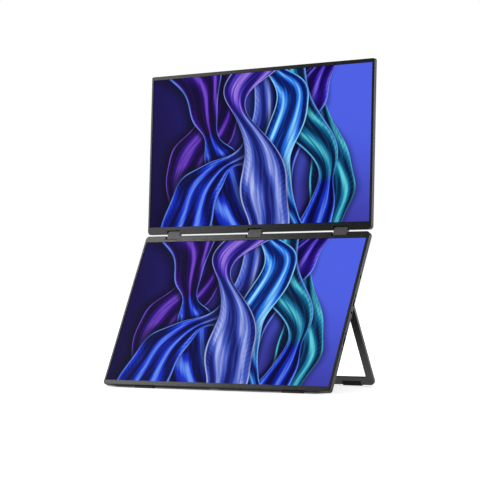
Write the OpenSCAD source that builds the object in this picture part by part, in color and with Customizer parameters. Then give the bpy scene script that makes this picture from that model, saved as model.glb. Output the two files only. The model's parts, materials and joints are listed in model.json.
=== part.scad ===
// Laptop screen extender: two 15.6 inch displays stacked on three dual-axis hinges.
// The lower display leans back on a fold-out stand and the upper one stands nearly upright.
// Frame: X to the viewer's right, Y to the back, Z up, floor at z = 0, all in millimetres.
// Panel coordinates: X as above, Y up the panel from an edge, Z out of the screen's front face.

/* [Display] */
// Width of the lit area of each screen
active_w = 344.2; // [330:0.1:356]
// Height of the lit area of each screen
active_h = 193.6; // [186:0.1:200]
// Thickness of the display glass
glass_t = 0.9; // [0.7:0.05:1.1]
// Thickness of the backlight unit behind the glass
backlight_t = 1.5; // [1.2:0.05:1.6]
// Glass beyond the lit area at the sides
glass_side_border = 1.6; // [1:0.1:1.7]
// Glass beyond the lit area towards the hinges
glass_hinge_border = 2.2; // [1:0.1:2.3]
// Glass beyond the lit area at the edge away from the hinges
glass_far_border = 2.6; // [1:0.1:2.8]

/* [Panels] */
// Front frame beside the lit area
side_bezel = 3.1; // [3:0.1:6]
// Lower display: frame between the lit area and the hinge edge
lower_hinge_bezel = 8.8; // [8.7:0.1:13]
// Lower display: frame between the lit area and the bottom edge
lower_far_bezel = 6.0; // [5.6:0.1:10]
// Upper display: frame between the lit area and the hinge edge
upper_hinge_bezel = 10.0; // [8.7:0.1:13]
// Upper display: frame between the lit area and the top edge
upper_far_bezel = 4.8; // [4.6:0.1:10]
// Thickness of the lower display
lower_t = 7.6; // [7.5:0.1:10]
// Thickness of the upper display
upper_t = 6.4; // [6.3:0.1:9]
// Thickness of the front frame's lip over the glass
lip_t = 0.6; // [0.4:0.05:0.7]
// Gap between the lit area and the front frame's window
window_gap = 0.3; // [0:0.1:0.8]
// Depth of the front frame's skirt
skirt_depth = 2.2; // [1.9:0.1:2.3]
// Wall of the front frame's skirt
skirt_wall = 1.0; // [0.8:0.05:1.1]
// Seam between the front frame and the rear housing
seam_gap = 0.15; // [0.1:0.05:0.3]
// Side wall of the rear housings
side_wall = 1.2; // [0.9:0.05:1.3]
// Back wall of the rear housings
rear_wall = 1.0; // [0.9:0.05:1.1]
// Corner radius at the hinge edges
hinge_corner_r = 4.6; // [3:0.1:8]
// Corner radius at the lower display's bottom edge
lower_corner_r = 3.6; // [2.6:0.1:4]
// Corner radius at the upper display's top edge
upper_corner_r = 2.4; // [2:0.1:3]
// Rounding of the front frame's outer edge
front_edge_r = 0.5; // [0.2:0.05:0.8]
// Rounding of the rear housings' outer edge
rear_edge_r = 1.2; // [0.6:0.1:1.6]

/* [Angles] */
// Tilt of the lower display from the floor
lower_tilt = 63.1; // [56:0.1:68]
// Forward fold of the upper display, out of line with the lower one
rest_fold = 22.2; // [0:0.1:40]
// Angle of the stand out of its recess
stand_open = 50.3; // [45:0.1:60]

/* [Hinges] */
// Distance of the outer hinges from the panels' sides
hinge_side = 44.2; // [30:0.1:115]
// Distance between the two axes of a hinge
axis_gap = 9.2; // [8.8:0.05:12]
// Distance from an axis to the panel's edge
axis_edge = 2.8; // [2.7:0.05:3]
// Depth of the axes behind the front face
axis_depth = 3.2; // [3.1:0.05:3.3]
// Width of a hinge block
block_w = 20; // [14:0.5:26]
// Half thickness and end radius of a hinge block
block_r = 2.2; // [1.9:0.05:2.2]
// Gap at each side of a hinge block
block_side_gap = 1.0; // [0.5:0.1:1.5]
// Gap between a block's round end and its notch
block_end_gap = 0.3; // [0.2:0.05:0.4]
// Wall around a hinge notch
well_wall = 1.0; // [0.7:0.1:1.2]
// Radius of the hinge shafts
shaft_r = 1.2; // [0.9:0.05:1.25]
// Radial play of a block on its shaft
shaft_play = 0.05; // [0.02:0.01:0.08]
// Radial play of a pin or shaft that its piece holds
seat_play = 0.02; // [0.01:0.01:0.05]
// Thickness of the hinge leaves
leaf_t = 0.7; // [0.5:0.05:0.8]
// Thickness of a leaf's lug
lug_t = 1.2; // [0.8:0.1:1.5]
// Radius of a leaf's lug, its washers and its nut
lug_r = 2.0; // [1.7:0.05:2.05]
// Reach of a leaf from the hinge edge
leaf_reach = 16; // [13:0.5:22]
// Thickness of a spring washer
washer_t = 0.3; // [0.2:0.05:0.4]
// Number of spring washers at each nut
washer_count = 2; // [1:1:3]
// Length of a shaft nut
nut_t = 1.6; // [1.2:0.1:2]
// Bore of the middle hinge's hollow barrels
barrel_bore_r = 0.85; // [0.7:0.05:0.9]
// Radius of the display cable
cable_r = 0.6; // [0.4:0.05:0.65]

/* [Stand] */
// Distance from a leg's outer face to the lower display's side
stand_side = 18.0; // [17.2:0.1:35]
// Width of the legs and of the foot bar
stand_bar = 10.3; // [7:0.1:12]
// Thickness of the stand
stand_t = 3.2; // [2.6:0.1:3.3]
// Height of the stand's pivot up the lower display
stand_pivot = 143.5; // [136:0.5:146]
// Outer corner radius of the stand
stand_corner_r = 6; // [3:0.5:9]
// Inner corner radius of the stand
stand_inner_r = 1.5; // [0.5:0.1:4]
// Clearance around the folded stand
stand_gap = 0.3; // [0.2:0.05:0.4]
// Wall between the stand's recess and the inside
recess_wall = 0.6; // [0.5:0.05:0.6]
// Radius of the stand's pivot shafts
pivot_r = 0.8; // [0.6:0.05:0.9]
// Length of a stand bracket's barrel
bracket_w = 14; // [8:0.5:18]
// Reach of a stand bracket's leaf above the pivot
bracket_reach = 9; // [7:0.5:14]
// Length of the rubber pads under the foot bar
pad_w = 27; // [20:0.5:40]
// Distance from a pad's middle to the leg's outer face
pad_side = 33.4; // [31:0.2:97]
// Rubber below the foot bar
pad_drop = 1.0; // [0.8:0.1:1.6]
// Rubber proud of the foot bar's front face
pad_proud = 0.5; // [0.3:0.05:0.55]
// Height of the pads up the foot bar's front face
pad_rise = 5.4; // [2:0.1:7]

/* [Feet and speakers] */
// Length of the front feet
foot_w = 31; // [15:0.5:45]
// Distance from the left front foot's middle to the lower display's left side
left_foot_side = 66.6; // [48:0.2:130]
// Distance from the right front foot's middle to the lower display's right side
right_foot_side = 54.6; // [48:0.2:130]
// Depth of the front feet's front face behind the screen's front
foot_front = 2.8; // [2.8:0.1:4]
// Depth of the front feet's back face behind the screen's front
foot_back = 6.2; // [5.4:0.1:6.4]
// Rubber below the lower display's lowest edge
foot_drop = 0.6; // [0.6:0.1:2]
// Length of a speaker grille
grille_w = 19.5; // [12:0.5:24]
// Distance from a speaker grille's middle to the lower display's side
grille_side = 14.2; // [13.2:0.1:25.2]
// Height of a speaker grille across the bottom wall
grille_h = 2.8; // [2:0.1:3]
// Slot width and rib width in a speaker grille
grille_slot = 0.8; // [0.6:0.1:1.2]
// Length of a speaker box up the panel
speaker_len = 30; // [20:1:32]
// Width of a speaker box
speaker_w = 13.6; // [10:0.2:14]

/* [Side controls] */
// Depth of the sockets' and keys' centres behind the front face
port_depth = 4.8; // [4.7:0.05:4.9]
// Height of the status light up the lower display
light_s = 154.6; // [153.5:0.1:158]
// Radius of the status light
light_r = 0.8; // [0.5:0.1:1]
// Height of the power button up the lower display
power_s = 149.5; // [148:0.1:150.5]
// Length of the power button
power_len = 4.5; // [3.5:0.1:5]
// Width of the power button
power_w = 2.0; // [1.6:0.1:2.4]
// Height of the source key up the lower display
source_key_s = 124.4; // [123.8:0.1:138]
// Height of the plus key up the lower display
plus_key_s = 75.3; // [75:0.1:90]
// Height of the minus key up the lower display
minus_key_s = 55.1; // [47:0.1:55.6]
// Radius of the small round keys
key_r = 1.5; // [1.2:0.05:1.55]
// Travel of the button and the keys
key_travel = 0.4; // [0.2:0.05:0.45]
// Clearance around the button and the keys
key_gap = 0.15; // [0.1:0.05:0.2]
// Height of the USB-C socket up the lower display
usb_s = 115; // [112.5:0.1:116]
// Height of the mini HDMI socket up the lower display
hdmi_s = 66.2; // [64.5:0.1:66.4]
// Height of the headphone jack up the lower display
jack_s = 102.6; // [98:0.1:104]
// Radius of the headphone jack's bore
jack_bore_r = 1.775; // [1.76:0.005:1.8]
// Length of the headphone jack's bore
jack_bore_len = 14; // [12:0.5:15]
// Height of the reset hole up the lower display
reset_s = 41.9; // [38:0.1:44]
// Radius of the reset hole
reset_r = 0.6; // [0.4:0.1:0.8]

/* [Boards] */
// Width of the main board
main_w = 136; // [100:1:180]
// Height of the main board
main_h = 62; // [48:1:70]
// Height of the main board's lower edge up the lower display
main_s = 58; // [44:1:62]
// Thickness of the boards in the lower display
board_t = 0.8; // [0.6:0.1:1]
// Width of the upper display's driver board
driver_w = 120; // [90:1:160]
// Height of the upper display's driver board
driver_h = 24; // [18:1:40]
// Distance of the driver board from the hinge edge
driver_q = 20; // [19:0.5:30]
// Thickness of the driver board
driver_t = 0.6; // [0.4:0.1:0.6]
// Shank radius of the small screws
screw_r = 0.6; // [0.5:0.05:0.7]
// Head radius of the small screws
screw_head_r = 1.4; // [1.1:0.1:1.6]
// Head height of the small screws
screw_head_t = 0.5; // [0.3:0.05:0.55]

/* [Hidden] */
$fn = 48;

// How far a cutting body passes the face that it opens
cut = 1;
// Clearances: pieces that sit together, neighbours inside a case, and pieces that stay free
close_gap = 0.05;
part_gap = 0.2;
free_gap = 0.3;

// Panel sizes
panel_w = active_w + 2 * side_bezel;
lower_h = lower_hinge_bezel + active_h + lower_far_bezel;
upper_h = upper_hinge_bezel + active_h + upper_far_bezel;
glass_w = active_w + 2 * glass_side_border;
glass_back = lip_t + glass_t + backlight_t;
lower_inside = lower_t - rear_wall;
upper_inside = upper_t - rear_wall;
wall_x = panel_w / 2 - side_wall;

// Snap clips that hold the front frames on the rear housings
clip_half_w = 4;
clip_t = 0.6;
clip_barb = 0.35;
clip_barb_h = 0.7;
clip_front = side_wall + clip_t + close_gap;
clip_end = skirt_depth + seam_gap + 1.5;
clip_pitch = 56;

// Hinge notches, lugs and pockets, measured from a hinge's middle
notch_half = block_w / 2 + block_side_gap;
notch_reach = axis_edge + block_r + block_end_gap;
notch_depth = axis_depth + block_r + block_end_gap;
lug_x = notch_half + well_wall + part_gap;
washer_x = lug_x + lug_t + close_gap;
nut_x = washer_x + washer_count * (washer_t + close_gap);
shaft_half = nut_x + nut_t + free_gap;
pocket_x = shaft_half + free_gap;
leaf_half = nut_x + nut_t;
leaf_start = notch_reach + well_wall + free_gap;
hinge_x = panel_w / 2 - hinge_side;
hinge_centres = [-hinge_x, 0, hinge_x];
outer_hinges = [-hinge_x, hinge_x];
near_clips = [for (side = [-1, 1], third = [1, 2]) side * third * hinge_x / 3];
far_clips = [for (i = [-1.5:1.5]) i * clip_pitch];
leaf_screw_q = (leaf_start + leaf_reach) / 2;
leaf_screw_x = leaf_half - screw_head_r - 2 * free_gap;

// Room for the display cable inside the middle hinge block
chamber_half = 2.2;
chamber_r = cable_r + free_gap;
cable_turn_x = pocket_x + 2.2;
cable_board_x = cable_turn_x + 3.5;
cable_lift = 0.35;
lower_bend_q = 7.5;
upper_bend_q = 9;

// Stand
stand_axis_depth = lower_t - stand_t / 2;
stand_lean = 90 - lower_tilt;
leg_angle = stand_open - stand_lean;
stand_half_w = panel_w / 2 - stand_side;
stand_inner_x = stand_half_w - stand_bar;
recess_depth = lower_t - stand_t - stand_gap;
pivot_y = stand_pivot * cos(lower_tilt) + stand_axis_depth * sin(lower_tilt);
pivot_z = stand_pivot * sin(lower_tilt) - stand_axis_depth * cos(lower_tilt);
floor_z = -lower_t * cos(lower_tilt) - foot_drop;
stand_len = (pivot_z - floor_z - pad_drop - stand_t / 2 * sin(leg_angle)) / cos(leg_angle);
pad_back = stand_t / 2 - 0.4;
pad_end = -pad_floor(-pad_back);
pad_x = stand_half_w - pad_side;
pad_gap = 0.5;
pad_pocket_depth = pad_proud - stand_gap + part_gap + close_gap;
pivot_wall = 1;
recess_bottom = stand_pivot - pad_end - stand_gap;
bracket_x = stand_inner_x - stand_gap - bracket_w;
bracket_leaf_t = 0.7;
bracket_screw_s = stand_pivot + bracket_reach - screw_head_r - 0.8;
bracket_screw_inset = 2.8;
bracket_screw_xs = [bracket_x + bracket_screw_inset, bracket_x + bracket_w - bracket_screw_inset];
scallop_r = 18;
scallop_depth = 3;

// Feet and speaker grilles
foot_xs = [left_foot_side - panel_w / 2, panel_w / 2 - right_foot_side];
grille_x = panel_w / 2 - grille_side;
grille_rim = 0.6;
speaker_half_t = 1.5;

// Where the lower display's front bottom edge lies, so that the origin is under the middle
front_y = front_edge_r * (cos(lower_tilt) + sin(lower_tilt) - 1);
stand_back_y = pivot_y + pad_end * sin(leg_angle) + pad_back * cos(leg_angle);
upper_tilt = lower_tilt + rest_fold;
joint_s = lower_h - axis_edge + axis_gap;
joint_y = joint_s * cos(lower_tilt) + axis_depth * sin(lower_tilt);
joint_z = joint_s * sin(lower_tilt) - axis_depth * cos(lower_tilt);
upper_back_y = joint_y + (upper_h - axis_edge - rear_edge_r) * cos(upper_tilt)
    + (upper_t - axis_depth - rear_edge_r) * sin(upper_tilt) + rear_edge_r;
rest_y = -(front_y + max(stand_back_y, upper_back_y)) / 2;
rest_z = -floor_z;

// Boards and sockets
board_front = port_depth - board_t / 2;
board_back = port_depth + board_t / 2;
port_board_x = stand_half_w + stand_gap + recess_wall + free_gap;
board_gap = 0.15;
boss_wall = 0.4;
chip_t = 0.9;
port_board_s = 36;
port_board_top = 160;
port_board_edge = wall_x - free_gap;
socket_mouth = panel_w / 2 - part_gap;
socket_half_t = 1.6;
usb_half_w = 4.5;
usb_len = 7.4;
hdmi_half_w = 5.6;
hdmi_len = 7.6;
hdmi_corner = 1.2;
shell_wall = 0.3;
shell_floor = 1;
tongue_t = 0.7;
tongue_inset = 0.8;
usb_tongue_half = 3.3;
hdmi_tongue_half = 4;
jack_depth = port_depth + part_gap;
jack_half_w = 3;
jack_start = panel_w / 2 - jack_bore_len - 0.5;
jack_front = jack_depth - jack_bore_r - 0.17;
jack_back = jack_depth + jack_bore_r + 0.22;
jack_collar_r = 2.25;
switch_face = wall_x - 2;
switch_len = 3.2;
switch_half_w = 2;
switch_half_t = 1.2;
flange_t = 0.5;
flange_gap = 0.15;
flange_over = 0.7;
flange_half_t = socket_half_t - close_gap;
key_face = panel_w / 2 - 0.1;
key_back = switch_face + key_travel + 0.1;
flex_front = glass_back + 0.12;
flex_t = 0.2;
flex_half_w = 6;
flex_s = main_s + main_h / 2;
flex_connector_len = 8;
flex_connector_half = flex_half_w + 1;
screw_inset = 4;
main_screws = [for (x = [-1, 1], s = [screw_inset, main_h - screw_inset])
    [x * (main_w / 2 - screw_inset), main_s + s]];
port_screws = [for (s = [port_board_s + 11, flex_s - flex_connector_half - 3, port_board_top - 26])
    [port_board_x + 3, s]];
driver_board_front = upper_inside - 2 * free_gap - driver_t;
driver_screws = [for (x = [-1, 1]) [x * (driver_w / 2 - screw_inset), driver_q + driver_h / 2]];
cable_connector_half = 5;
cable_connector_len = 4;
key_heights = [source_key_s, plus_key_s, minus_key_s];

// Point of the floor under the stand, as a height along the leg at a depth off its mid plane
function pad_floor(z) = (floor_z - pivot_z + z * sin(leg_angle)) / cos(leg_angle);

// Places
module in_lower() translate([0, rest_y, rest_z]) rotate([lower_tilt, 0, 0]) children();
module from_hinge_edge() translate([0, lower_h, 0]) mirror([0, 1, 0]) children();
module in_upper() translate([0, rest_y + joint_y, rest_z + joint_z])
    rotate([upper_tilt, 0, 0]) translate([0, -axis_edge, axis_depth]) children();
module in_stand() in_lower() translate([0, stand_pivot, -stand_axis_depth])
    rotate([stand_open, 0, 0]) children();
module both_sides() for (side = [0, 1]) mirror([side, 0, 0]) children();
module at_hinges(centres = hinge_centres) for (x = centres) translate([x, 0, 0]) children();

// Extrudes a plane shape given as (Y, Z) along X
module along_x(x, length) translate([x, 0, 0]) rotate([90, 0, 90]) linear_extrude(length) children();

// Plane shapes and simple solids
module slab(x0, x1, y0, y1, z0, z1) translate([x0, y0, z0]) cube([x1 - x0, y1 - y0, z1 - z0]);

module rim_profile(width, depth, edge_r) {
    square([width - edge_r, depth]);
    square([width, depth - edge_r]);
    translate([width - edge_r, depth - edge_r]) circle(edge_r);
}

module rim_bar(length, width, depth, edge_r)
    translate([0, length, 0]) rotate([90, 0, 0]) linear_extrude(length)
        rim_profile(width, depth, edge_r);

module rim_corner(r, depth, edge_r) rotate_extrude(angle = 90) rim_profile(r, depth, edge_r);

// Slab with round corners (near_r at y = 0, far_r at y = h) and a round edge on its top face
module case_body(w, h, near_r, far_r, depth, edge_r) {
    side = max(near_r, far_r);
    slab(-w / 2 + side, w / 2 - side, near_r, h - far_r, 0, depth);
    both_sides() {
        translate([w / 2 - side, near_r, 0]) rim_bar(h - near_r - far_r, side, depth, edge_r);
        translate([w / 2 - near_r, near_r, 0]) rotate([0, 0, -90]) rim_corner(near_r, depth, edge_r);
        translate([w / 2 - far_r, h - far_r, 0]) rim_corner(far_r, depth, edge_r);
    }
    translate([near_r - w / 2, near_r, 0]) rotate([0, 0, -90])
        rim_bar(w - 2 * near_r, near_r, depth, edge_r);
    translate([w / 2 - far_r, h - far_r, 0]) rotate([0, 0, 90])
        rim_bar(w - 2 * far_r, far_r, depth, edge_r);
}

module round_outline(w, h, near_r, far_r) {
    translate([-w / 2, near_r]) square([w, h - near_r - far_r]);
    translate([near_r - w / 2, 0]) square([w - 2 * near_r, near_r]);
    translate([far_r - w / 2, h - far_r]) square([w - 2 * far_r, far_r]);
    for (side = [-1, 1]) {
        translate([side * (w / 2 - near_r), near_r]) circle(near_r);
        translate([side * (w / 2 - far_r), h - far_r]) circle(far_r);
    }
}

module stadium(half_w, r) {
    translate([-r, r - half_w]) square([2 * r, 2 * (half_w - r)]);
    for (side = [-1, 1]) translate([0, side * (half_w - r)]) circle(r);
}

module screw(length) {
    cylinder(r = screw_head_r, h = screw_head_t);
    translate([0, 0, -length]) cylinder(r = screw_r, h = length);
}

// Round cable through a list of points, each run a little longer than its points' distance
module cable(points, r) for (i = [0:len(points) - 2]) {
    run = points[i + 1] - points[i];
    before = i > 0 ? r / 2 : 0;
    after = i < len(points) - 2 ? r / 2 : 0;
    translate(points[i]) rotate([0, acos(run[2] / norm(run)), atan2(run[1], run[0])])
        translate([0, 0, -before]) cylinder(r = r, h = norm(run) + before + after, $fn = 10);
}

// Panels, measured from the hinge edge
module notch_cuts() at_hinges() {
    slab(-notch_half, notch_half, -cut, notch_reach, -notch_depth, cut);
    translate([0, axis_edge, -axis_depth]) rotate([0, 90, 0])
        cylinder(r = shaft_r + part_gap, h = 2 * lug_x, center = true);
}

module lug_pockets(inside) at_hinges() both_sides()
    slab(lug_x - part_gap, pocket_x, axis_edge - lug_r - 2 * close_gap, notch_reach, -inside, -lip_t);

module well_block(z0, z1) at_hinges()
    slab(-notch_half - well_wall, notch_half + well_wall, skirt_wall / 2,
        notch_reach + well_wall, z0, z1);

// Snap clips: hooks behind the front frame, and the slots that they catch in the housing's wall
module at_clips(h) {
    for (x = near_clips) translate([x, 0, 0]) children();
    for (x = far_clips) translate([x, h, 0]) mirror([0, 1, 0]) children();
}

module clip_hook() {
    slab(-clip_half_w, clip_half_w, skirt_wall / 2, clip_front, -skirt_depth, -lip_t / 2);
    slab(-clip_half_w, clip_half_w, side_wall + close_gap, clip_front, -clip_end, -lip_t / 2);
    slab(-clip_half_w, clip_half_w, side_wall - clip_barb, clip_front, -clip_end, clip_barb_h - clip_end);
}

module clip_slots(h) at_clips(h) {
    half_w = clip_half_w + part_gap;
    back = clip_front + close_gap;
    slab(-half_w, half_w, side_wall - clip_barb - close_gap, back, -clip_end - part_gap,
        clip_barb_h - clip_end + close_gap);
    slab(-half_w, half_w, side_wall, back, -clip_end - part_gap, -skirt_depth);
}

module front_frame(h, hinge_bezel, far_r) difference() {
    union() {
        at_clips(h) clip_hook();
        difference() {
            translate([0, 0, -skirt_depth])
                case_body(panel_w, h, hinge_corner_r, far_r, skirt_depth, front_edge_r);
            translate([0, skirt_wall, -skirt_depth - cut]) linear_extrude(skirt_depth - lip_t + cut)
                round_outline(panel_w - 2 * skirt_wall, h - 2 * skirt_wall,
                    hinge_corner_r - skirt_wall, far_r - skirt_wall);
        }
        well_block(-skirt_depth, -lip_t / 2);
    }
    slab(-active_w / 2 - window_gap, active_w / 2 + window_gap, hinge_bezel - window_gap,
        hinge_bezel + active_h + window_gap, -skirt_depth - cut, cut);
    notch_cuts();
    lug_pockets(skirt_depth + cut);
}

module rear_shell(h, t, far_r) difference() {
    union() {
        difference() {
            translate([0, 0, -skirt_depth - seam_gap]) mirror([0, 0, 1])
                case_body(panel_w, h, hinge_corner_r, far_r, t - skirt_depth - seam_gap, rear_edge_r);
            translate([0, side_wall, -t + rear_wall]) linear_extrude(t)
                round_outline(panel_w - 2 * side_wall, h - 2 * side_wall,
                    hinge_corner_r - side_wall, far_r - side_wall);
        }
        well_block(-t + rear_wall / 2, -skirt_depth - seam_gap);
    }
    notch_cuts();
    lug_pockets(t - rear_wall);
}

module display_layer(hinge_bezel, front, back)
    slab(-glass_w / 2, glass_w / 2, hinge_bezel - glass_hinge_border,
        hinge_bezel + active_h + glass_far_border, -back, -front);

module boss(height) difference() {
    cylinder(r = screw_head_r + boss_wall, h = height);
    translate([0, 0, -cut]) cylinder(r = screw_r + seat_play, h = height + 2 * cut);
}

// Hinges, measured from the hinge edge
module hinge_leaf(inside) {
    slab(-leaf_half, leaf_half, leaf_start, leaf_reach, -inside, -inside + leaf_t);
    both_sides() {
        slab(lug_x, leaf_half, axis_edge + lug_r + part_gap, leaf_start, -inside, -inside + leaf_t);
        slab(lug_x, lug_x + lug_t, axis_edge - lug_r, axis_edge + lug_r, -inside, -axis_depth);
        translate([0, axis_edge, -axis_depth]) rotate([0, 90, 0])
            translate([0, 0, lug_x]) cylinder(r = lug_r, h = lug_t);
    }
}

module hinge_leaves(inside) difference() {
    at_hinges() hinge_leaf(inside);
    at_hinges() {
        translate([0, axis_edge, -axis_depth]) rotate([0, 90, 0])
            cylinder(r = shaft_r + seat_play, h = 2 * pocket_x, center = true);
        both_sides() translate([leaf_screw_x, leaf_screw_q, -inside - cut])
            cylinder(r = screw_r + seat_play, h = leaf_t + 2 * cut);
    }
}

module hinge_screws(inside) at_hinges() both_sides()
    translate([leaf_screw_x, leaf_screw_q, -inside + leaf_t]) screw(leaf_t + rear_wall / 2);

module hinge_screw_holes(inside) at_hinges() both_sides()
    translate([leaf_screw_x, leaf_screw_q, -inside - rear_wall / 2 - close_gap])
        cylinder(r = screw_r + seat_play, h = rear_wall);

module on_axis() translate([0, axis_edge, -axis_depth]) rotate([0, 90, 0]) children();

module hinge_shafts() at_hinges(outer_hinges) on_axis()
    cylinder(r = shaft_r, h = 2 * shaft_half, center = true);

module spring_washers() at_hinges(outer_hinges) both_sides() on_axis()
    for (i = [0:washer_count - 1]) translate([0, 0, washer_x + i * (washer_t + close_gap)])
        difference() {
            cylinder(r = lug_r, h = washer_t);
            translate([0, 0, -cut]) cylinder(r = shaft_r + seat_play, h = washer_t + 2 * cut);
        }

module shaft_nuts() at_hinges(outer_hinges) both_sides() on_axis()
    translate([0, 0, nut_x]) difference() {
        cylinder(r = lug_r, h = nut_t, $fn = 6);
        translate([0, 0, -cut]) cylinder(r = shaft_r + seat_play, h = nut_t + 2 * cut);
    }

module cable_barrels() both_sides() on_axis() translate([0, 0, chamber_half + free_gap])
    difference() {
        cylinder(r = shaft_r, h = lug_x + lug_t - chamber_half);
        translate([0, 0, -cut]) cylinder(r = barrel_bore_r, h = 2 * lug_x);
    }

// Lower display
module stand_outline(grow) {
    foot_end = recess_bottom + stand_gap;
    bar_top = stand_pivot - stand_len + stand_bar;
    both_sides() {
        translate([stand_inner_x - grow, foot_end - grow])
            square([stand_bar + 2 * grow, stand_pivot + stand_t / 2 - foot_end + 2 * grow]);
        translate([stand_inner_x - grow, bar_top + grow])
            polygon([[0, 0], [-stand_inner_r, 0], [0, stand_inner_r]]);
        translate([bracket_x - grow, stand_pivot - stand_t / 2 - grow])
            square([bracket_w + stand_gap, stand_t / 2 + bracket_reach + 2 * grow]);
    }
    translate([-stand_inner_x, foot_end - grow])
        square([2 * stand_inner_x, bar_top - foot_end + 2 * grow]);
}

module recess_cuts() {
    translate([0, 0, -lower_t - cut]) linear_extrude(lower_t - recess_depth + cut)
        stand_outline(stand_gap);
    pad_pocket(0, -recess_depth - cut, -recess_depth + pad_pocket_depth);
    translate([0, -cut, scallop_depth - lower_t - scallop_r]) rotate([-90, 0, 0])
        cylinder(r = scallop_r, h = recess_bottom + 2 * cut, $fn = 96);
}

// Room for the folded stand's pads, grown by a wall where it is a solid
module pad_pocket(wall, z0, z1) both_sides() slab(pad_x - pad_w / 2 - pad_gap - wall,
    pad_x + pad_w / 2 + pad_gap + wall, recess_bottom - wall,
    stand_pivot - stand_len + pad_rise + pad_gap + wall, z0, z1);

module side_opening(s, depth, half_w, r)
    translate([wall_x - cut, s, -depth]) rotate([0, 90, 0]) linear_extrude(side_wall + 2 * cut)
        stadium(half_w, r);

module side_cuts() {
    side_opening(usb_s, port_depth, usb_half_w + close_gap, socket_half_t + close_gap);
    slab(wall_x - cut, panel_w, hdmi_s - hdmi_half_w - close_gap, hdmi_s + hdmi_half_w + close_gap,
        -port_depth - socket_half_t - close_gap, -port_depth + socket_half_t + close_gap);
    side_opening(power_s, port_depth, power_len / 2 + key_gap, power_w / 2 + key_gap);
    translate([wall_x - cut, 0, -port_depth]) rotate([0, 90, 0]) {
        for (s = key_heights) translate([0, s, 0]) cylinder(r = key_r + key_gap, h = 2 * side_wall + cut);
        translate([0, light_s, 0]) cylinder(r = light_r + seat_play, h = 2 * side_wall + cut);
        translate([0, reset_s, 0]) cylinder(r = reset_r, h = 2 * side_wall + cut);
    }
    translate([wall_x - cut, jack_s, -jack_depth]) rotate([0, 90, 0])
        cylinder(r = jack_collar_r + close_gap, h = 2 * side_wall + cut);
    slab(jack_start - close_gap, wall_x, jack_s - jack_half_w - close_gap,
        jack_s + jack_half_w + close_gap, -jack_back - close_gap, -jack_depth);
}

module speaker_cuts() both_sides() slab(grille_x - grille_w / 2, grille_x + grille_w / 2,
    -cut, side_wall + cut, -port_depth - grille_h / 2, -port_depth + grille_h / 2);

module bracket_screw_places() both_sides() for (x = bracket_screw_xs)
    translate([x, bracket_screw_s, -recess_depth - bracket_leaf_t]) children();

module lower_rear_housing() color("dimgray") in_lower() difference() {
    union() {
        from_hinge_edge() rear_shell(lower_h, lower_t, lower_corner_r);
        translate([0, 0, -lower_inside - rear_wall / 2])
            linear_extrude(lower_inside + rear_wall / 2 - recess_depth + recess_wall)
                intersection() {
                    stand_outline(stand_gap + recess_wall);
                    translate([-panel_w / 2, side_wall / 2]) square([panel_w, lower_h]);
                }
        pad_pocket(recess_wall, -recess_depth, -max(glass_back + close_gap,
            recess_depth - recess_wall - pad_pocket_depth));
        for (at = concat(main_screws, port_screws))
            translate([at[0], at[1], -lower_inside]) boss(lower_inside - board_back);
    }
    recess_cuts();
    side_cuts();
    speaker_cuts();
    from_hinge_edge() {
        clip_slots(lower_h);
        hinge_screw_holes(lower_inside);
    }
    bracket_screw_places() translate([0, 0, bracket_leaf_t - cut])
        cylinder(r = screw_r + seat_play, h = cut + recess_wall - 2 * close_gap);
}

module lower_front_bezel() color("gray") in_lower() from_hinge_edge()
    front_frame(lower_h, lower_hinge_bezel, lower_corner_r);

module lower_display_glass() color("midnightblue") in_lower() from_hinge_edge()
    display_layer(lower_hinge_bezel, lip_t, lip_t + glass_t);

module lower_backlight() color("silver") in_lower() from_hinge_edge()
    display_layer(lower_hinge_bezel, lip_t + glass_t, glass_back);

module board_parts(parts, face, height) for (part = parts)
    slab(part[0] - part[2] / 2, part[0] + part[2] / 2, part[1] - part[3] / 2,
        part[1] + part[3] / 2, face, face + height);

module cable_connector() translate([-cable_connector_half, 0, 0])
    cube([2 * cable_connector_half, cable_connector_len, chip_t]);

// Places and sizes of the chips as [x, y, width, height], from the board's lower middle
front_chips = [[-30, 24, 16, 16], [2, 20, 12, 12], [26, 22, 9, 14], [-8, 44, 20, 8], [36, 46, 10, 10]];
rear_chips = [[-44, 40, 8, 8], [16, 34, 14, 10], [44, 14, 7, 7]];

module main_board() color("darkgreen") in_lower() {
    difference() {
        slab(-main_w / 2, main_w / 2, main_s, main_s + main_h, -board_back, -board_front);
        for (at = main_screws) translate([at[0], at[1], -board_back - cut])
            cylinder(r = screw_r + seat_play, h = board_t + 2 * cut);
    }
    translate([0, main_s, 0]) {
        board_parts(front_chips, -board_front, chip_t);
        board_parts(rear_chips, -board_back - chip_t, chip_t);
    }
    slab(main_w / 2 - flex_connector_len, main_w / 2, flex_s - flex_connector_half,
        flex_s + flex_connector_half, -board_front, -flex_front - flex_t);
    translate([-cable_board_x, main_s + main_h - cable_connector_len, -board_front])
        cable_connector();
}

module main_board_screws() color("silver") in_lower() for (at = main_screws)
    translate([at[0], at[1], -board_front]) screw(lower_inside - board_front - close_gap);

module board_notch(s, half_w, x) slab(x - board_gap, panel_w / 2, s - half_w - board_gap,
    s + half_w + board_gap, -board_back - cut, -board_front + cut);

module port_board() color("darkgreen") in_lower() {
    difference() {
        slab(port_board_x, port_board_edge, port_board_s, port_board_top, -board_back, -board_front);
        for (at = port_screws) translate([at[0], at[1], -board_back - cut])
            cylinder(r = screw_r + seat_play, h = board_t + 2 * cut);
        board_notch(usb_s, usb_half_w, socket_mouth - usb_len);
        board_notch(hdmi_s, hdmi_half_w, socket_mouth - hdmi_len);
        board_notch(jack_s, jack_half_w, jack_start);
        for (s = key_heights) board_notch(s, key_r + flange_over, switch_face - switch_len);
        board_notch(power_s, power_len / 2 + flange_over, switch_face - switch_len);
    }
    slab(port_board_x, port_board_x + flex_connector_len, flex_s - flex_connector_half,
        flex_s + flex_connector_half, -board_front, -flex_front - flex_t);
}

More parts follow.
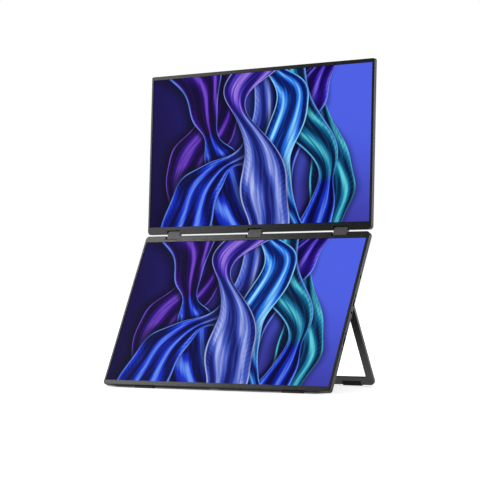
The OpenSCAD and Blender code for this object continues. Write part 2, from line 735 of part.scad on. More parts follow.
module port_board_screws() color("silver") in_lower() for (at = port_screws)
    translate([at[0], at[1], -board_front]) screw(lower_inside - board_front - close_gap);

module port_flex_cable() color("goldenrod") in_lower()
    slab(main_w / 2 - flex_connector_len, port_board_x + flex_connector_len, flex_s - flex_half_w,
        flex_s + flex_half_w, -flex_front - flex_t, -flex_front);

module at_port(s, depth = port_depth) translate([0, s, -depth]) rotate([0, 90, 0]) children();

module usb_c_socket() color("silver") in_lower() at_port(usb_s) {
    translate([0, 0, socket_mouth - usb_len]) difference() {
        linear_extrude(usb_len) stadium(usb_half_w, socket_half_t);
        translate([0, 0, shell_floor]) linear_extrude(usb_len)
            stadium(usb_half_w - shell_wall, socket_half_t - shell_wall);
    }
    tongue(usb_tongue_half, usb_len);
}

// Contact tongue that stands on a socket's floor and stops short of its mouth
module tongue(half_w, len) translate([-tongue_t / 2, -half_w, socket_mouth - len + shell_floor / 2])
    cube([tongue_t, 2 * half_w, len - shell_floor / 2 - tongue_inset]);

// Outline of the mini HDMI shell: a slab with its two rear corners cut off
module hdmi_outline(inset) {
    half_t = socket_half_t - inset;
    half_w = hdmi_half_w - inset;
    polygon([[-half_t, -half_w], [-half_t, half_w], [half_t - hdmi_corner, half_w],
        [half_t, half_w - hdmi_corner], [half_t, hdmi_corner - half_w], [half_t - hdmi_corner, -half_w]]);
}

module mini_hdmi_socket() color("silver") in_lower() at_port(hdmi_s) {
    translate([0, 0, socket_mouth - hdmi_len]) difference() {
        linear_extrude(hdmi_len) hdmi_outline(0);
        translate([0, 0, shell_floor]) linear_extrude(hdmi_len) hdmi_outline(shell_wall);
    }
    tongue(hdmi_tongue_half, hdmi_len);
}

module headphone_jack() color("silver") in_lower() difference() {
    union() {
        slab(jack_start, wall_x - close_gap, jack_s - jack_half_w,
            jack_s + jack_half_w, -jack_back, -jack_front);
        at_port(jack_s, jack_depth) translate([0, 0, wall_x - part_gap])
            cylinder(r = jack_collar_r, h = side_wall + part_gap);
    }
    at_port(jack_s, jack_depth) translate([0, 0, panel_w / 2 - jack_bore_len])
        cylinder(r = jack_bore_r, h = jack_bore_len + cut);
}

module side_switches() color("black") in_lower() for (s = concat([power_s], key_heights))
    slab(switch_face - switch_len, switch_face, s - switch_half_w, s + switch_half_w,
        -port_depth - switch_half_t, -port_depth + switch_half_t);

module status_light() color("lightcyan") in_lower() at_port(light_s)
    translate([0, 0, port_board_edge + close_gap])
        cylinder(r = light_r, h = panel_w / 2 - port_board_edge - 2 * close_gap);

module key_flange(half_w) translate([-flange_half_t, -half_w, wall_x - flange_gap - flange_t])
    cube([2 * flange_half_t, 2 * half_w, flange_t]);

module power_button() color("black") in_lower() at_port(power_s) {
    translate([0, 0, key_back]) linear_extrude(key_face - key_back) stadium(power_len / 2, power_w / 2);
    key_flange(power_len / 2 + flange_over - 2 * close_gap);
}

module round_key(s) color("black") in_lower() at_port(s) {
    translate([0, 0, key_back]) cylinder(r = key_r, h = key_face - key_back);
    key_flange(key_r + flange_over - 2 * close_gap);
}

module source_key() round_key(source_key_s);
module plus_key() round_key(plus_key_s);
module minus_key() round_key(minus_key_s);

module speakers() color("black") in_lower() both_sides()
    slab(port_board_x, port_board_x + speaker_w, side_wall + free_gap,
        side_wall + free_gap + speaker_len, -port_depth - speaker_half_t, -port_depth + speaker_half_t);

module speaker_grilles() color("black") in_lower() both_sides() difference() {
    pitch = 2 * grille_slot;
    count = floor((grille_w - 2 * grille_rim) / pitch);
    slab(grille_x - grille_w / 2 + close_gap, grille_x + grille_w / 2 - close_gap, 2 * close_gap,
        side_wall, -port_depth - grille_h / 2 + close_gap, -port_depth + grille_h / 2 - close_gap);
    for (i = [0:count - 1]) translate([grille_x + (i - count / 2 + 0.25) * pitch, -cut,
        -port_depth - grille_h / 2 + grille_rim])
            cube([grille_slot, side_wall + 2 * cut, grille_h - 2 * grille_rim]);
}

module front_feet() color("black") in_lower() for (x = foot_xs) along_x(x - foot_w / 2, foot_w)
    polygon([for (end = [[0, foot_front], [1, foot_front], [1, foot_back], [0, foot_back]])
        [end[0] * (floor_z + end[1] * cos(lower_tilt)) / sin(lower_tilt), -end[1]]]);

// Stand
module stand_brackets() color("silver") in_lower() both_sides() difference() {
    union() {
        translate([bracket_x, stand_pivot, -stand_axis_depth]) rotate([0, 90, 0])
            cylinder(r = stand_t / 2, h = bracket_w);
        slab(bracket_x, bracket_x + bracket_w, stand_pivot, stand_pivot + stand_t / 2,
            -stand_axis_depth, -recess_depth);
        slab(bracket_x, bracket_x + bracket_w, stand_pivot, stand_pivot + bracket_reach,
            -recess_depth - bracket_leaf_t, -recess_depth);
    }
    translate([bracket_x - cut, stand_pivot, -stand_axis_depth]) rotate([0, 90, 0])
        cylinder(r = pivot_r + shaft_play, h = bracket_w + 2 * cut);
    for (x = bracket_screw_xs) translate([x, bracket_screw_s, -lower_t])
        cylinder(r = screw_r + seat_play, h = lower_t);
}

module stand_bracket_screws() color("silver") in_lower() bracket_screw_places()
    mirror([0, 0, 1]) screw(bracket_leaf_t + recess_wall - 3 * close_gap);

module stand_frame() color("dimgray") in_stand() difference() {
    union() {
        translate([0, 0, -stand_t / 2]) linear_extrude(stand_t) difference() {
            translate([0, -stand_len]) round_outline(2 * stand_half_w, stand_len + 2 * stand_corner_r,
                stand_corner_r, stand_corner_r);
            translate([0, stand_bar - stand_len]) round_outline(2 * stand_inner_x,
                2 * stand_len, stand_inner_r, stand_inner_r);
            translate([-stand_half_w - cut, 0]) square([2 * stand_half_w + 2 * cut, stand_len]);
        }
        both_sides() translate([stand_inner_x, 0, 0]) rotate([0, 90, 0])
            cylinder(r = stand_t / 2, h = stand_bar);
    }
    both_sides() translate([stand_inner_x - cut, 0, 0]) rotate([0, 90, 0])
        cylinder(r = pivot_r + seat_play, h = stand_bar - pivot_wall + cut);
}

module stand_pivot_shafts() color("silver") in_stand() both_sides() translate([bracket_x, 0, 0])
    rotate([0, 90, 0]) cylinder(r = pivot_r, h = stand_half_w - pivot_wall - close_gap - bracket_x);

module stand_pads() color("black") in_stand() both_sides() along_x(pad_x - pad_w / 2, pad_w)
    polygon([[pad_rise - stand_len, stand_t / 2], [pad_rise - stand_len - pad_proud,
        stand_t / 2 + pad_proud], [pad_floor(stand_t / 2 + pad_proud), stand_t / 2 + pad_proud],
        [pad_floor(-pad_back), -pad_back], [-stand_len, -pad_back], [-stand_len, stand_t / 2]]);

// Hinge blocks: their lower axes lie on the lower display's hinge axis
module hinge_block(x) translate([x, axis_edge, -axis_depth]) difference() {
    union() {
        for (end = [0, -axis_gap]) translate([0, end, 0]) rotate([0, 90, 0])
            cylinder(r = block_r, h = block_w, center = true);
        slab(-block_w / 2, block_w / 2, -axis_gap, 0, -block_r, block_r);
    }
    for (end = [0, -axis_gap]) translate([0, end, 0]) rotate([0, 90, 0])
        cylinder(r = shaft_r + shaft_play, h = block_w + 2 * cut, center = true);
}

module left_hinge_block() color("dimgray") in_lower() from_hinge_edge() hinge_block(-hinge_x);
module right_hinge_block() color("dimgray") in_lower() from_hinge_edge() hinge_block(hinge_x);

module middle_hinge_block() color("dimgray") in_lower() from_hinge_edge() difference() {
    hinge_block(0);
    slab(-chamber_half, chamber_half, axis_edge - axis_gap - chamber_r, axis_edge + chamber_r,
        -axis_depth - chamber_r, -axis_depth + chamber_r);
}

module lower_hinge_leaves() color("silver") in_lower() from_hinge_edge() hinge_leaves(lower_inside);
module lower_hinge_screws() color("gray") in_lower() from_hinge_edge() hinge_screws(lower_inside);
module lower_hinge_shafts() color("silver") in_lower() from_hinge_edge() hinge_shafts();
module lower_spring_washers() color("gray") in_lower() from_hinge_edge() spring_washers();
module lower_shaft_nuts() color("silver") in_lower() from_hinge_edge() shaft_nuts();
module lower_cable_barrels() color("silver") in_lower() from_hinge_edge() cable_barrels();

module upper_hinge_leaves() color("silver") in_upper() hinge_leaves(upper_inside);
module upper_hinge_screws() color("gray") in_upper() hinge_screws(upper_inside);
module upper_hinge_shafts() color("silver") in_upper() hinge_shafts();
module upper_spring_washers() color("gray") in_upper() spring_washers();
module upper_shaft_nuts() color("silver") in_upper() shaft_nuts();
module upper_cable_barrels() color("silver") in_upper() cable_barrels();

// Display cable: one run on each axis, joined inside the middle block
module cable_run(side, bend_q, board_q, board_z) cable([
    [side * (cable_r + 2 * close_gap), axis_edge, -axis_depth],
    [side * cable_turn_x, axis_edge, -axis_depth], [side * cable_board_x, bend_q, board_z],
    [side * cable_board_x, board_q, board_z]], cable_r);

module lower_display_cable() color("black") in_lower() from_hinge_edge()
    cable_run(-1, lower_bend_q, lower_h - main_s - main_h, -board_front + cable_lift);

module upper_display_cable() color("black") in_upper()
    cable_run(1, upper_bend_q, driver_q, -driver_board_front + cable_lift);

module hinge_display_cable() color("black") in_lower() from_hinge_edge()
    translate([0, axis_edge + cable_r, -axis_depth]) rotate([90, 0, 0])
        cylinder(r = cable_r, h = axis_gap + 2 * cable_r);

// Upper display
module upper_rear_housing() color("dimgray") in_upper() difference() {
    union() {
        rear_shell(upper_h, upper_t, upper_corner_r);
        for (at = driver_screws) translate([at[0], at[1], -upper_inside])
            boss(upper_inside - driver_board_front - driver_t);
    }
    clip_slots(upper_h);
    hinge_screw_holes(upper_inside);
}

module upper_front_bezel() color("gray") in_upper()
    front_frame(upper_h, upper_hinge_bezel, upper_corner_r);

module upper_display_glass() color("midnightblue") in_upper()
    display_layer(upper_hinge_bezel, lip_t, lip_t + glass_t);

module upper_backlight() color("silver") in_upper()
    display_layer(upper_hinge_bezel, lip_t + glass_t, glass_back);

driver_chips = [[-30, 12, 12, 9], [0, 14, 18, 5], [34, 11, 8, 8]];

module driver_board() color("darkgreen") in_upper() {
    difference() {
        slab(-driver_w / 2, driver_w / 2, driver_q, driver_q + driver_h,
            -driver_board_front - driver_t, -driver_board_front);
        for (at = driver_screws) translate([at[0], at[1], -upper_t])
            cylinder(r = screw_r + seat_play, h = upper_t);
    }
    translate([0, driver_q, 0]) board_parts(driver_chips, -driver_board_front, chip_t);
    translate([cable_board_x, driver_q, -driver_board_front]) cable_connector();
}

module driver_board_screws() color("silver") in_upper() for (at = driver_screws)
    translate([at[0], at[1], -driver_board_front]) screw(upper_inside - driver_board_front - close_gap);

lower_rear_housing();
lower_front_bezel();
lower_display_glass();
lower_backlight();
main_board();
main_board_screws();
port_board();
port_board_screws();
port_flex_cable();
usb_c_socket();
mini_hdmi_socket();
headphone_jack();
side_switches();
status_light();
power_button();
source_key();
plus_key();
minus_key();
speakers();
speaker_grilles();
front_feet();
stand_brackets();
stand_bracket_screws();
stand_frame();
stand_pivot_shafts();
stand_pads();
left_hinge_block();
middle_hinge_block();
right_hinge_block();
lower_hinge_leaves();
lower_hinge_screws();
lower_hinge_shafts();
lower_spring_washers();
lower_shaft_nuts();
lower_cable_barrels();
upper_hinge_leaves();
upper_hinge_screws();
upper_hinge_shafts();
upper_spring_washers();
upper_shaft_nuts();
upper_cable_barrels();
lower_display_cable();
hinge_display_cable();
upper_display_cable();
upper_rear_housing();
upper_front_bezel();
upper_display_glass();
upper_backlight();
driver_board();
driver_board_screws();
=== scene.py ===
"""Dressed model of a two-panel laptop screen extender: finishes, screen picture, small parts, studio."""

import json
import logging
import math
from dataclasses import dataclass, field, replace
from enum import Enum
from typing import Any, Iterable, Sequence

import bmesh
import bpy
from mathutils import Matrix, Vector

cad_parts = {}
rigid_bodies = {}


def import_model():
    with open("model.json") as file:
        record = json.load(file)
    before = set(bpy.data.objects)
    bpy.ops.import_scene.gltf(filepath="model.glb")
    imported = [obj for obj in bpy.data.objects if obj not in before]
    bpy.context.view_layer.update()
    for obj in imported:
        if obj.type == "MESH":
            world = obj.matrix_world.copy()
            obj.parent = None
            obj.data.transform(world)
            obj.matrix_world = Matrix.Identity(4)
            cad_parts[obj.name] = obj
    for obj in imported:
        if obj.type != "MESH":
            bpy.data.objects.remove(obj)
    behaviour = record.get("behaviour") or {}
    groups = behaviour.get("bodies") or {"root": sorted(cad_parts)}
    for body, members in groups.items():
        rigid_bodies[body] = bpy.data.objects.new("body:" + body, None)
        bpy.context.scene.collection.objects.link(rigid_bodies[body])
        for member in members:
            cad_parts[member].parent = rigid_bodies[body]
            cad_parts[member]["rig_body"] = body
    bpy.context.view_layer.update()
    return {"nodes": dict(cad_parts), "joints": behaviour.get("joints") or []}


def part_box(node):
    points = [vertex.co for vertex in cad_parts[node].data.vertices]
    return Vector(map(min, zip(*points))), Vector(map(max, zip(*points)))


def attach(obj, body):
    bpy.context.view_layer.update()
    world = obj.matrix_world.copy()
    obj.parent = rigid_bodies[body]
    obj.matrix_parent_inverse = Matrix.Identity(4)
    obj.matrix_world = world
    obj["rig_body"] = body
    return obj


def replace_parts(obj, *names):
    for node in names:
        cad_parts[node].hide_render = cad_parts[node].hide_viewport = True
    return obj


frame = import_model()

MM = 0.001  # metres in a millimetre
WELD_DISTANCE = 0.002 * MM  # corners this close are one
FLAT_ANGLE = math.radians(0.5)  # faces that turn less than this are one
SMOOTH_ANGLE = math.radians(35)  # edges that turn more than this stay sharp
SAME = 0.02  # millimetres within which two measures of a piece are the same
NOISE_FALL = 0.55  # strength of each finer layer of a noise
LOG = logging.getLogger("scene")

Colour = tuple[float, float, float]
Stretch = tuple[float, float, float]
Point = tuple[float, float, float]


def srgb(red: int, green: int, blue: int) -> Colour:
    """Turns screen values of 0 to 255 into a linear colour.

    Args:
        red: Red value.
        green: Green value.
        blue: Blue value.

    Returns:
        The linear colour.
    """
    def linear(value: int) -> float:
        """Undoes the screen curve of one value."""
        share = value / 255
        return share / 12.92 if share <= 0.04045 else ((share + 0.055) / 1.055) ** 2.4

    return linear(red), linear(green), linear(blue)


def grey(value: int) -> Colour:
    """Linear neutral colour of one screen value."""
    return srgb(value, value, value)


# ---------------------------------------------------------------------------------------------
# Node trees


class Wire:
    """One output socket, with arithmetic that adds the nodes it needs to the socket's tree."""

    def __init__(self, graph: "Graph", socket: bpy.types.NodeSocket) -> None:
        """Keeps the graph and the socket."""
        self.graph = graph
        self.socket = socket

    def _both(self, operation: str, first: Any, second: Any) -> "Wire":
        """Adds one node that joins two values.

        Args:
            operation: Name of the operation, the same for numbers and vectors.
            first: Wire, number or vector on the left.
            second: Wire, number or vector on the right.

        Returns:
            The node's result.
        """
        vector = any(isinstance(v, Wire) and v.socket.type == "VECTOR" for v in (first, second))
        kind = "ShaderNodeVectorMath" if vector else "ShaderNodeMath"
        return self.graph.wire(kind, {"operation": operation}, {0: first, 1: second})

    def __add__(self, other: Any) -> "Wire":
        """Sum."""
        return self._both("ADD", self, other)

    __radd__ = __add__

    def __sub__(self, other: Any) -> "Wire":
        """Difference."""
        return self._both("SUBTRACT", self, other)

    def __rsub__(self, other: Any) -> "Wire":
        """Difference from a plain value."""
        return self._both("SUBTRACT", other, self)

    def __mul__(self, other: Any) -> "Wire":
        """Product."""
        return self._both("MULTIPLY", self, other)

    __rmul__ = __mul__

    def __truediv__(self, other: Any) -> "Wire":
        """Quotient."""
        return self._both("DIVIDE", self, other)

    def __pow__(self, other: Any) -> "Wire":
        """Power."""
        return self._both("POWER", self, other)

    def math(self, operation: str, *others: Any) -> "Wire":
        """Result of a named number operation on this wire and further values."""
        return self.graph.wire("ShaderNodeMath", {"operation": operation},
                               dict(enumerate((self, *others))))

    def sin(self) -> "Wire":
        """Sine."""
        return self.math("SINE")

    def cos(self) -> "Wire":
        """Cosine."""
        return self.math("COSINE")

    def size(self) -> "Wire":
        """Value without its sign."""
        return self.math("ABSOLUTE")

    def ramp(self, low: float, high: float, start: float = 0.0, end: float = 1.0) -> "Wire":
        """Smooth step between two values.

        Args:
            low: Value at which the step starts.
            high: Value at which the step ends.
            start: Result up to low.
            end: Result from high on.

        Returns:
            The smoothed result.
        """
        return self.graph.wire(
            "ShaderNodeMapRange", {"interpolation_type": "SMOOTHSTEP"},
            {"Value": self, "From Min": low, "From Max": high, "To Min": start, "To Max": end})

    def step_at(self, value: float, half: float = 0.05) -> "Wire":
        """Smooth step from 0 to 1 about one value."""
        return self.ramp(value - half, value + half)

    def below(self, value: float, half: float = 0.02) -> "Wire":
        """Smooth step from 1 to 0 about one value."""
        return self.ramp(value - half, value + half, 1.0, 0.0)


class Graph:
    """Adds nodes to one node tree."""

    def __init__(self, tree: bpy.types.NodeTree) -> None:
        """Keeps the tree."""
        self.tree = tree

    def plug(self, socket: bpy.types.NodeSocket, value: Any) -> None:
        """Links a wire to a socket or sets its value.

        Args:
            socket: The input socket.
            value: A wire, or a value that the socket takes.
        """
        if isinstance(value, Wire):
            self.tree.links.new(value.socket, socket)
        elif socket.type == "RGBA" and len(value) == 3:
            socket.default_value = (*value, 1.0)
        else:
            socket.default_value = value

    def node(self, kind: str, settings: dict[str, Any] | None = None,
             sockets: dict[Any, Any] | None = None) -> bpy.types.Node:
        """Makes one node.

        Args:
            kind: The node's type.
            settings: Its properties, set first.
            sockets: Values or wires for its inputs, by name or number.

        Returns:
            The new node.
        """
        made = self.tree.nodes.new(kind)
        for name, value in (settings or {}).items():
            setattr(made, name, value)
        for key, value in (sockets or {}).items():
            self.plug(made.inputs[key], value)
        return made

    def wire(self, kind: str, settings: dict[str, Any] | None = None,
             sockets: dict[Any, Any] | None = None, output: Any = 0) -> Wire:
        """Makes one node and returns one of its outputs as a wire.

        Args:
            kind: The node's type.
            settings: Its properties, as for node().
            sockets: Its inputs, as for node().
            output: Name or number of the output.

        Returns:
            The output.
        """
        return Wire(self, self.node(kind, settings, sockets).outputs[output])

    def vector(self, x: Any, y: Any, z: Any = 0.0) -> Wire:
        """Vector of three numbers or wires."""
        return self.wire("ShaderNodeCombineXYZ", None, {0: x, 1: y, 2: z})


@dataclass(frozen=True)
class Place:
    """A frame turned about X alone, in which a piece or a pattern is described in millimetres.

    Attributes:
        origin: Its origin in the row frame, in metres.
        tilt: Turn about X, in radians.
    """

    origin: Vector
    tilt: float = 0.0

    def point(self, x: float, y: float, z: float) -> Vector:
        """Point of the row frame, in metres, of a local point in millimetres."""
        return self.origin + Matrix.Rotation(self.tilt, 3, "X") @ Vector((x, y, z)) * MM

    def local(self, point: Vector) -> Vector:
        """Local point, in millimetres, of a point of the row frame."""
        return Matrix.Rotation(-self.tilt, 3, "X") @ (point - self.origin) / MM

    @classmethod
    def along(cls, origin: Vector, run: Vector) -> "Place":
        """Frame whose Y axis lies along a run in the side view."""
        return cls(origin, math.atan2(run.z, run.y))


class Shader(Graph):
    """A material's tree, with its surface shader and its coordinates in a local frame."""

    def __init__(self, name: str, place: Place) -> None:
        """Makes the material.

        Args:
            name: The material's name.
            place: The local frame of its patterns.
        """
        self.material = bpy.data.materials.new(name)
        self.material.use_nodes = True
        super().__init__(self.material.node_tree)
        self.surface = next(n for n in self.tree.nodes if n.type == "BSDF_PRINCIPLED")
        centred = self.wire("ShaderNodeTexCoord", output="Object")
        self.coords = self.wire(
            "ShaderNodeMapping", {"vector_type": "TEXTURE"},
            {"Vector": centred, "Location": place.origin, "Rotation": (place.tilt, 0.0, 0.0),
             "Scale": (MM, MM, MM)})
        apart = self.node("ShaderNodeSeparateXYZ", None, {0: self.coords})
        self.x, self.y, self.z = (Wire(self, socket) for socket in apart.outputs)

    def set(self, **sockets: Any) -> None:
        """Sets or links the surface shader's inputs; an underscore stands for a space."""
        for name, value in sockets.items():
            self.plug(self.surface.inputs[name.replace("_", " ")], value)

    def noise(self, grain: float, detail: float = 2.0, stretch: Stretch = (1.0, 1.0, 1.0)) -> Wire:
        """Noise between 0 and 1.

        Args:
            grain: Size of its grains in millimetres.
            detail: How many finer layers it has.
            stretch: How much longer its grains are along each axis.

        Returns:
            The noise.
        """
        scaled = self.coords * tuple(1 / (grain * share) for share in stretch)
        return self.layers("3D", scaled, detail)

    def layers(self, dimensions: str, vector: Wire, detail: float) -> Wire:
        """Noise between 0 and 1 at some coordinates.

        Args:
            dimensions: "2D" or "3D".
            vector: The coordinates, with grains of about 1.
            detail: How many finer layers it has.

        Returns:
            The noise.
        """
        return self.wire("ShaderNodeTexNoise", {"noise_dimensions": dimensions},
                         {"Vector": vector, "Scale": 1.0, "Detail": detail, "Roughness": NOISE_FALL})

    def cells(self, scale: float, randomness: float = 1.0) -> Wire:
        """Distance from the middle of scattered cells, with so many cells to the millimetre."""
        return self.wire("ShaderNodeTexVoronoi", {"feature": "F1"},
                         {"Vector": self.coords, "Scale": scale, "Randomness": randomness})

    def mix(self, factor: Any, first: Any, second: Any) -> Wire:
        """Mix of two colours.

        Args:
            factor: Share of the second colour.
            first: First colour.
            second: Second colour.

        Returns:
            The mixed colour.
        """
        return self.wire("ShaderNodeMix", {"data_type": "RGBA", "clamp_factor": True},
                         {0: factor, 6: first, 7: second}, output=2)

    def bump(self, height: Wire, depth: float) -> None:
        """Feeds a height into the surface's normal.

        Args:
            height: Height from 0 to 1.
            depth: What the height stands for in millimetres.
        """
        self.set(Normal=self.wire("ShaderNodeBump", None, {
            "Height": height, "Distance": depth * MM, "Strength": 1.0}))


# ---------------------------------------------------------------------------------------------
# Finishes


@dataclass(frozen=True)
class Outline:
    """The box that a piece fills in its local frame.

    Attributes:
        low: Lowest corner in millimetres.
        high: Highest corner in millimetres.
    """

    low: Vector
    high: Vector

    @classmethod
    def of(cls, points: Iterable[Vector]) -> "Outline":
        """The box that some points fill.

        Args:
            points: The points.

        Returns:
            The box.
        """
        given = list(points)
        low, high = ([pick(p[i] for p in given) for i in range(3)] for pick in (min, max))
        return cls(Vector(low), Vector(high))

    def middle(self) -> Vector:
        """Its middle."""
        return (self.low + self.high) / 2

    def edge_mask(self, shader: Shader, reach: float) -> Wire:
        """Mask that is 1 at the box's edges, where two of its faces meet, and 0 away from them.

        Args:
            shader: The shader that reads it.
            reach: Width of the band along each edge in millimetres.

        Returns:
            The mask.
        """
        near = []
        for wire, low, high in zip((shader.x, shader.y, shader.z), self.low, self.high):
            middle, half = (low + high) / 2, (high - low) / 2
            near.append((wire - middle).size().ramp(half - reach, half))
        along_x, along_y, along_z = near[1] * near[2], near[0] * near[2], near[0] * near[1]
        return along_x.math("MAXIMUM", along_y).math("MAXIMUM", along_z)


class Finish:
    """A finish makes one material for each local frame that it is used in.

    Attributes:
        name: Name of its materials.
    """

    name: str

    def shade(self, shader: Shader, outline: Outline) -> None:
        """Sets the surface of one material.

        Args:
            shader: The material's tree.
            outline: The dressed piece's box in the local frame.
        """
        raise NotImplementedError

    def material(self, place: Place, outline: Outline, owner: str) -> bpy.types.Material:
        """Makes the material for one piece.

        Args:
            place: Local frame of its patterns.
            outline: The piece's box in that frame.
            owner: The piece's name.

        Returns:
            The material.
        """
        shader = Shader(f"{self.name}.{owner}", place)
        self.shade(shader, outline)
        return shader.material


@dataclass(frozen=True)
class Coat(Finish):
    """What the metal, anodised and moulded finishes have in common. Lengths are in millimetres.

    Attributes:
        name: Name of its materials.
        colour: Colour of the flat faces.
        edge: Colour along the edges, and of a metal's drawn lines.
        roughness: Mean roughness.
        grain: Size of the grain.
        relief: Depth of the grain.
        metallic: Share of metal in the reflection.
        specular: Strength of the plain reflection.
        edge_reach: Width of the band along the edges that takes the edge colour.
        cloud: Size of the clouds in which colour or gloss is uneven.
    """

    name: str
    colour: Colour
    edge: Colour
    roughness: float
    grain: float = 0.22
    relief: float = 0.012
    metallic: float = 0.0
    specular: float = 0.4
    edge_reach: float = 0.7
    cloud: float = 38.0


@dataclass(frozen=True)
class Casing(Coat):
    """Bead-blasted, dark anodised casing with a fine grain and an edge band: paler for wear with a painted
    highlight, darker for painted shade.

    Attributes:
        smudge: Size of the finger smudges.
        patch: Size of the patches along the edges in which the edge colour shows.
        lift: How much paler the colour gets in its clouds.
        matt_depth: How far back from the front the right and left sides are matt; with 0 they are
            as the rest.
        matt_inset: How far inside the outline the sides start.
        matt_gain: How much rougher the matt sides are.
    """

    smudge: float = 14.0
    patch: float = 5.0
    lift: float = 1.35
    matt_depth: float = 0.0
    matt_inset: float = 0.3
    matt_gain: float = 0.4

    def shade(self, shader: Shader, outline: Outline) -> None:
        """Grain, faint clouds, finger smudges, an edge band (wear and painted highlight where paler,
        painted shade where darker), and matt sides.

        Args:
            shader: The material's tree.
            outline: The dressed piece's box in the local frame.
        """
        grain = shader.noise(self.grain, 1.0)
        clouds = shader.noise(self.cloud, 3.0)
        smudges = shader.noise(self.smudge, 4.0, (1.0, 2.2, 1.0)).ramp(0.52, 0.75)
        patches = shader.noise(self.patch, 4.0).ramp(0.3, 0.7, 0.35, 1.0)
        # Edge band: where the edge colour is paler it is wear and a painted highlight; where it is darker,
        # as on the bezel, it is painted shade.
        edge_band = outline.edge_mask(shader, self.edge_reach) * patches
        lighter = tuple(channel * self.lift for channel in self.colour)
        base = shader.mix(clouds.ramp(0.3, 0.7) * 0.35 + grain * 0.25, self.colour, lighter)
        roughness = self.roughness + (grain - 0.5) * 0.1 + smudges * 0.05 - edge_band * 0.08
        if self.matt_depth:
            front = shader.z.step_at(-self.matt_depth)
            side = shader.x.size().step_at(outline.high.x - self.matt_inset)
            roughness = roughness + front * side * self.matt_gain
        shader.set(Base_Color=shader.mix(edge_band, base, self.edge), Roughness=roughness,
                   Metallic=self.metallic, Specular_IOR_Level=self.specular)
        shader.bump(grain, self.relief)


@dataclass(frozen=True)
class BrushedMetal(Coat):
    """Metal drawn along one axis, with fine lines in its colour, roughness and relief.

    Attributes:
        stretch: How much longer the lines are along each axis.
    """

    grain: float = 0.12
    relief: float = 0.004
    metallic: float = 1.0
    specular: float = 0.5
    edge_reach: float = 0.35
    cloud: float = 6.0
    stretch: Stretch = (30.0, 1.0, 1.0)

    def shade(self, shader: Shader, outline: Outline) -> None:
        """Drawn lines, clouds of handling and bright edges.

        Args:
            shader: The material's tree.
            outline: The dressed piece's box in the local frame.
        """
        lines = shader.noise(self.grain, 2.0, self.stretch)
        clouds = shader.noise(self.cloud, 3.0)
        edge_band = outline.edge_mask(shader, self.edge_reach)
        base = shader.mix(lines.ramp(0.35, 0.7), self.colour, self.edge)
        shader.set(Base_Color=shader.mix(edge_band * 0.5, base, self.edge),
                   Roughness=self.roughness + (lines - 0.5) * 0.16 + (clouds - 0.5) * 0.12,
                   Metallic=self.metallic, Specular_IOR_Level=self.specular)
        shader.bump(lines, self.relief)


@dataclass(frozen=True)
class Moulding(Coat):
    """Moulded plastic or rubber with spark-eroded texture.

    Attributes:
        dust: Strength of the pale dust in the texture's hollows.
        dust_colour: Colour of the dust.
    """

    grain: float = 0.18
    relief: float = 0.01
    specular: float = 0.35
    edge_reach: float = 0.4
    cloud: float = 3.5
    dust: float = 0.0
    dust_colour: Colour = grey(92)

    def shade(self, shader: Shader, outline: Outline) -> None:
        """Texture, uneven gloss, paler edges and dust.

        Args:
            shader: The material's tree.
            outline: The dressed piece's box in the local frame.
        """
        pits = shader.cells(1 / self.grain)
        patches = shader.noise(self.cloud, 3.0)
        edge_band = outline.edge_mask(shader, self.edge_reach) * 0.6
        dusty = patches.ramp(0.45, 0.8) * pits.ramp(0.2, 0.6) * self.dust
        base = shader.mix(edge_band, self.colour, self.edge)
        shader.set(Base_Color=shader.mix(dusty, base, self.dust_colour),
                   Roughness=self.roughness + (patches - 0.5) * 0.14 + (pits - 0.4) * 0.08,
                   Metallic=self.metallic, Specular_IOR_Level=self.specular)
        shader.bump(pits, self.relief)


@dataclass(frozen=True)
class Sheet(Finish):
    """White reflector stack of a backlight, with its dot pattern and silvered rim.

    Attributes:
        name: Name of its materials.
        film: Colour of the film.
        dot: Colour of the dots.
        rim: Colour of the metal rim.
        dot_pitch: Distance between the dots in millimetres.
        rim_width: Width of the rim.
        relief: Height of the dots.
    """

    name: str = "backlight"
    film: Colour = grey(214)
    dot: Colour = grey(240)
    rim: Colour = grey(150)
    dot_pitch: float = 2.0
    rim_width: float = 1.2
    relief: float = 0.01

    def shade(self, shader: Shader, outline: Outline) -> None:
        """Dots printed on the film and a drawn metal rim.

        Args:
            shader: The material's tree.
            outline: The dressed piece's box in the local frame.
        """
        column, row = ((wire / self.dot_pitch).math("FRACT") - 0.5 for wire in (shader.x, shader.y))
        dots = (column * column + row * row).below(0.045, 0.015)
        rim = outline.edge_mask(shader, self.rim_width)
        film = shader.mix(dots * 0.5, self.film, self.dot)
        shader.set(Base_Color=shader.mix(rim, film, self.rim), Metallic=rim,
                   Roughness=0.5 - rim * 0.2 + (shader.noise(4.0) - 0.5) * 0.1)
        shader.bump(dots, self.relief)


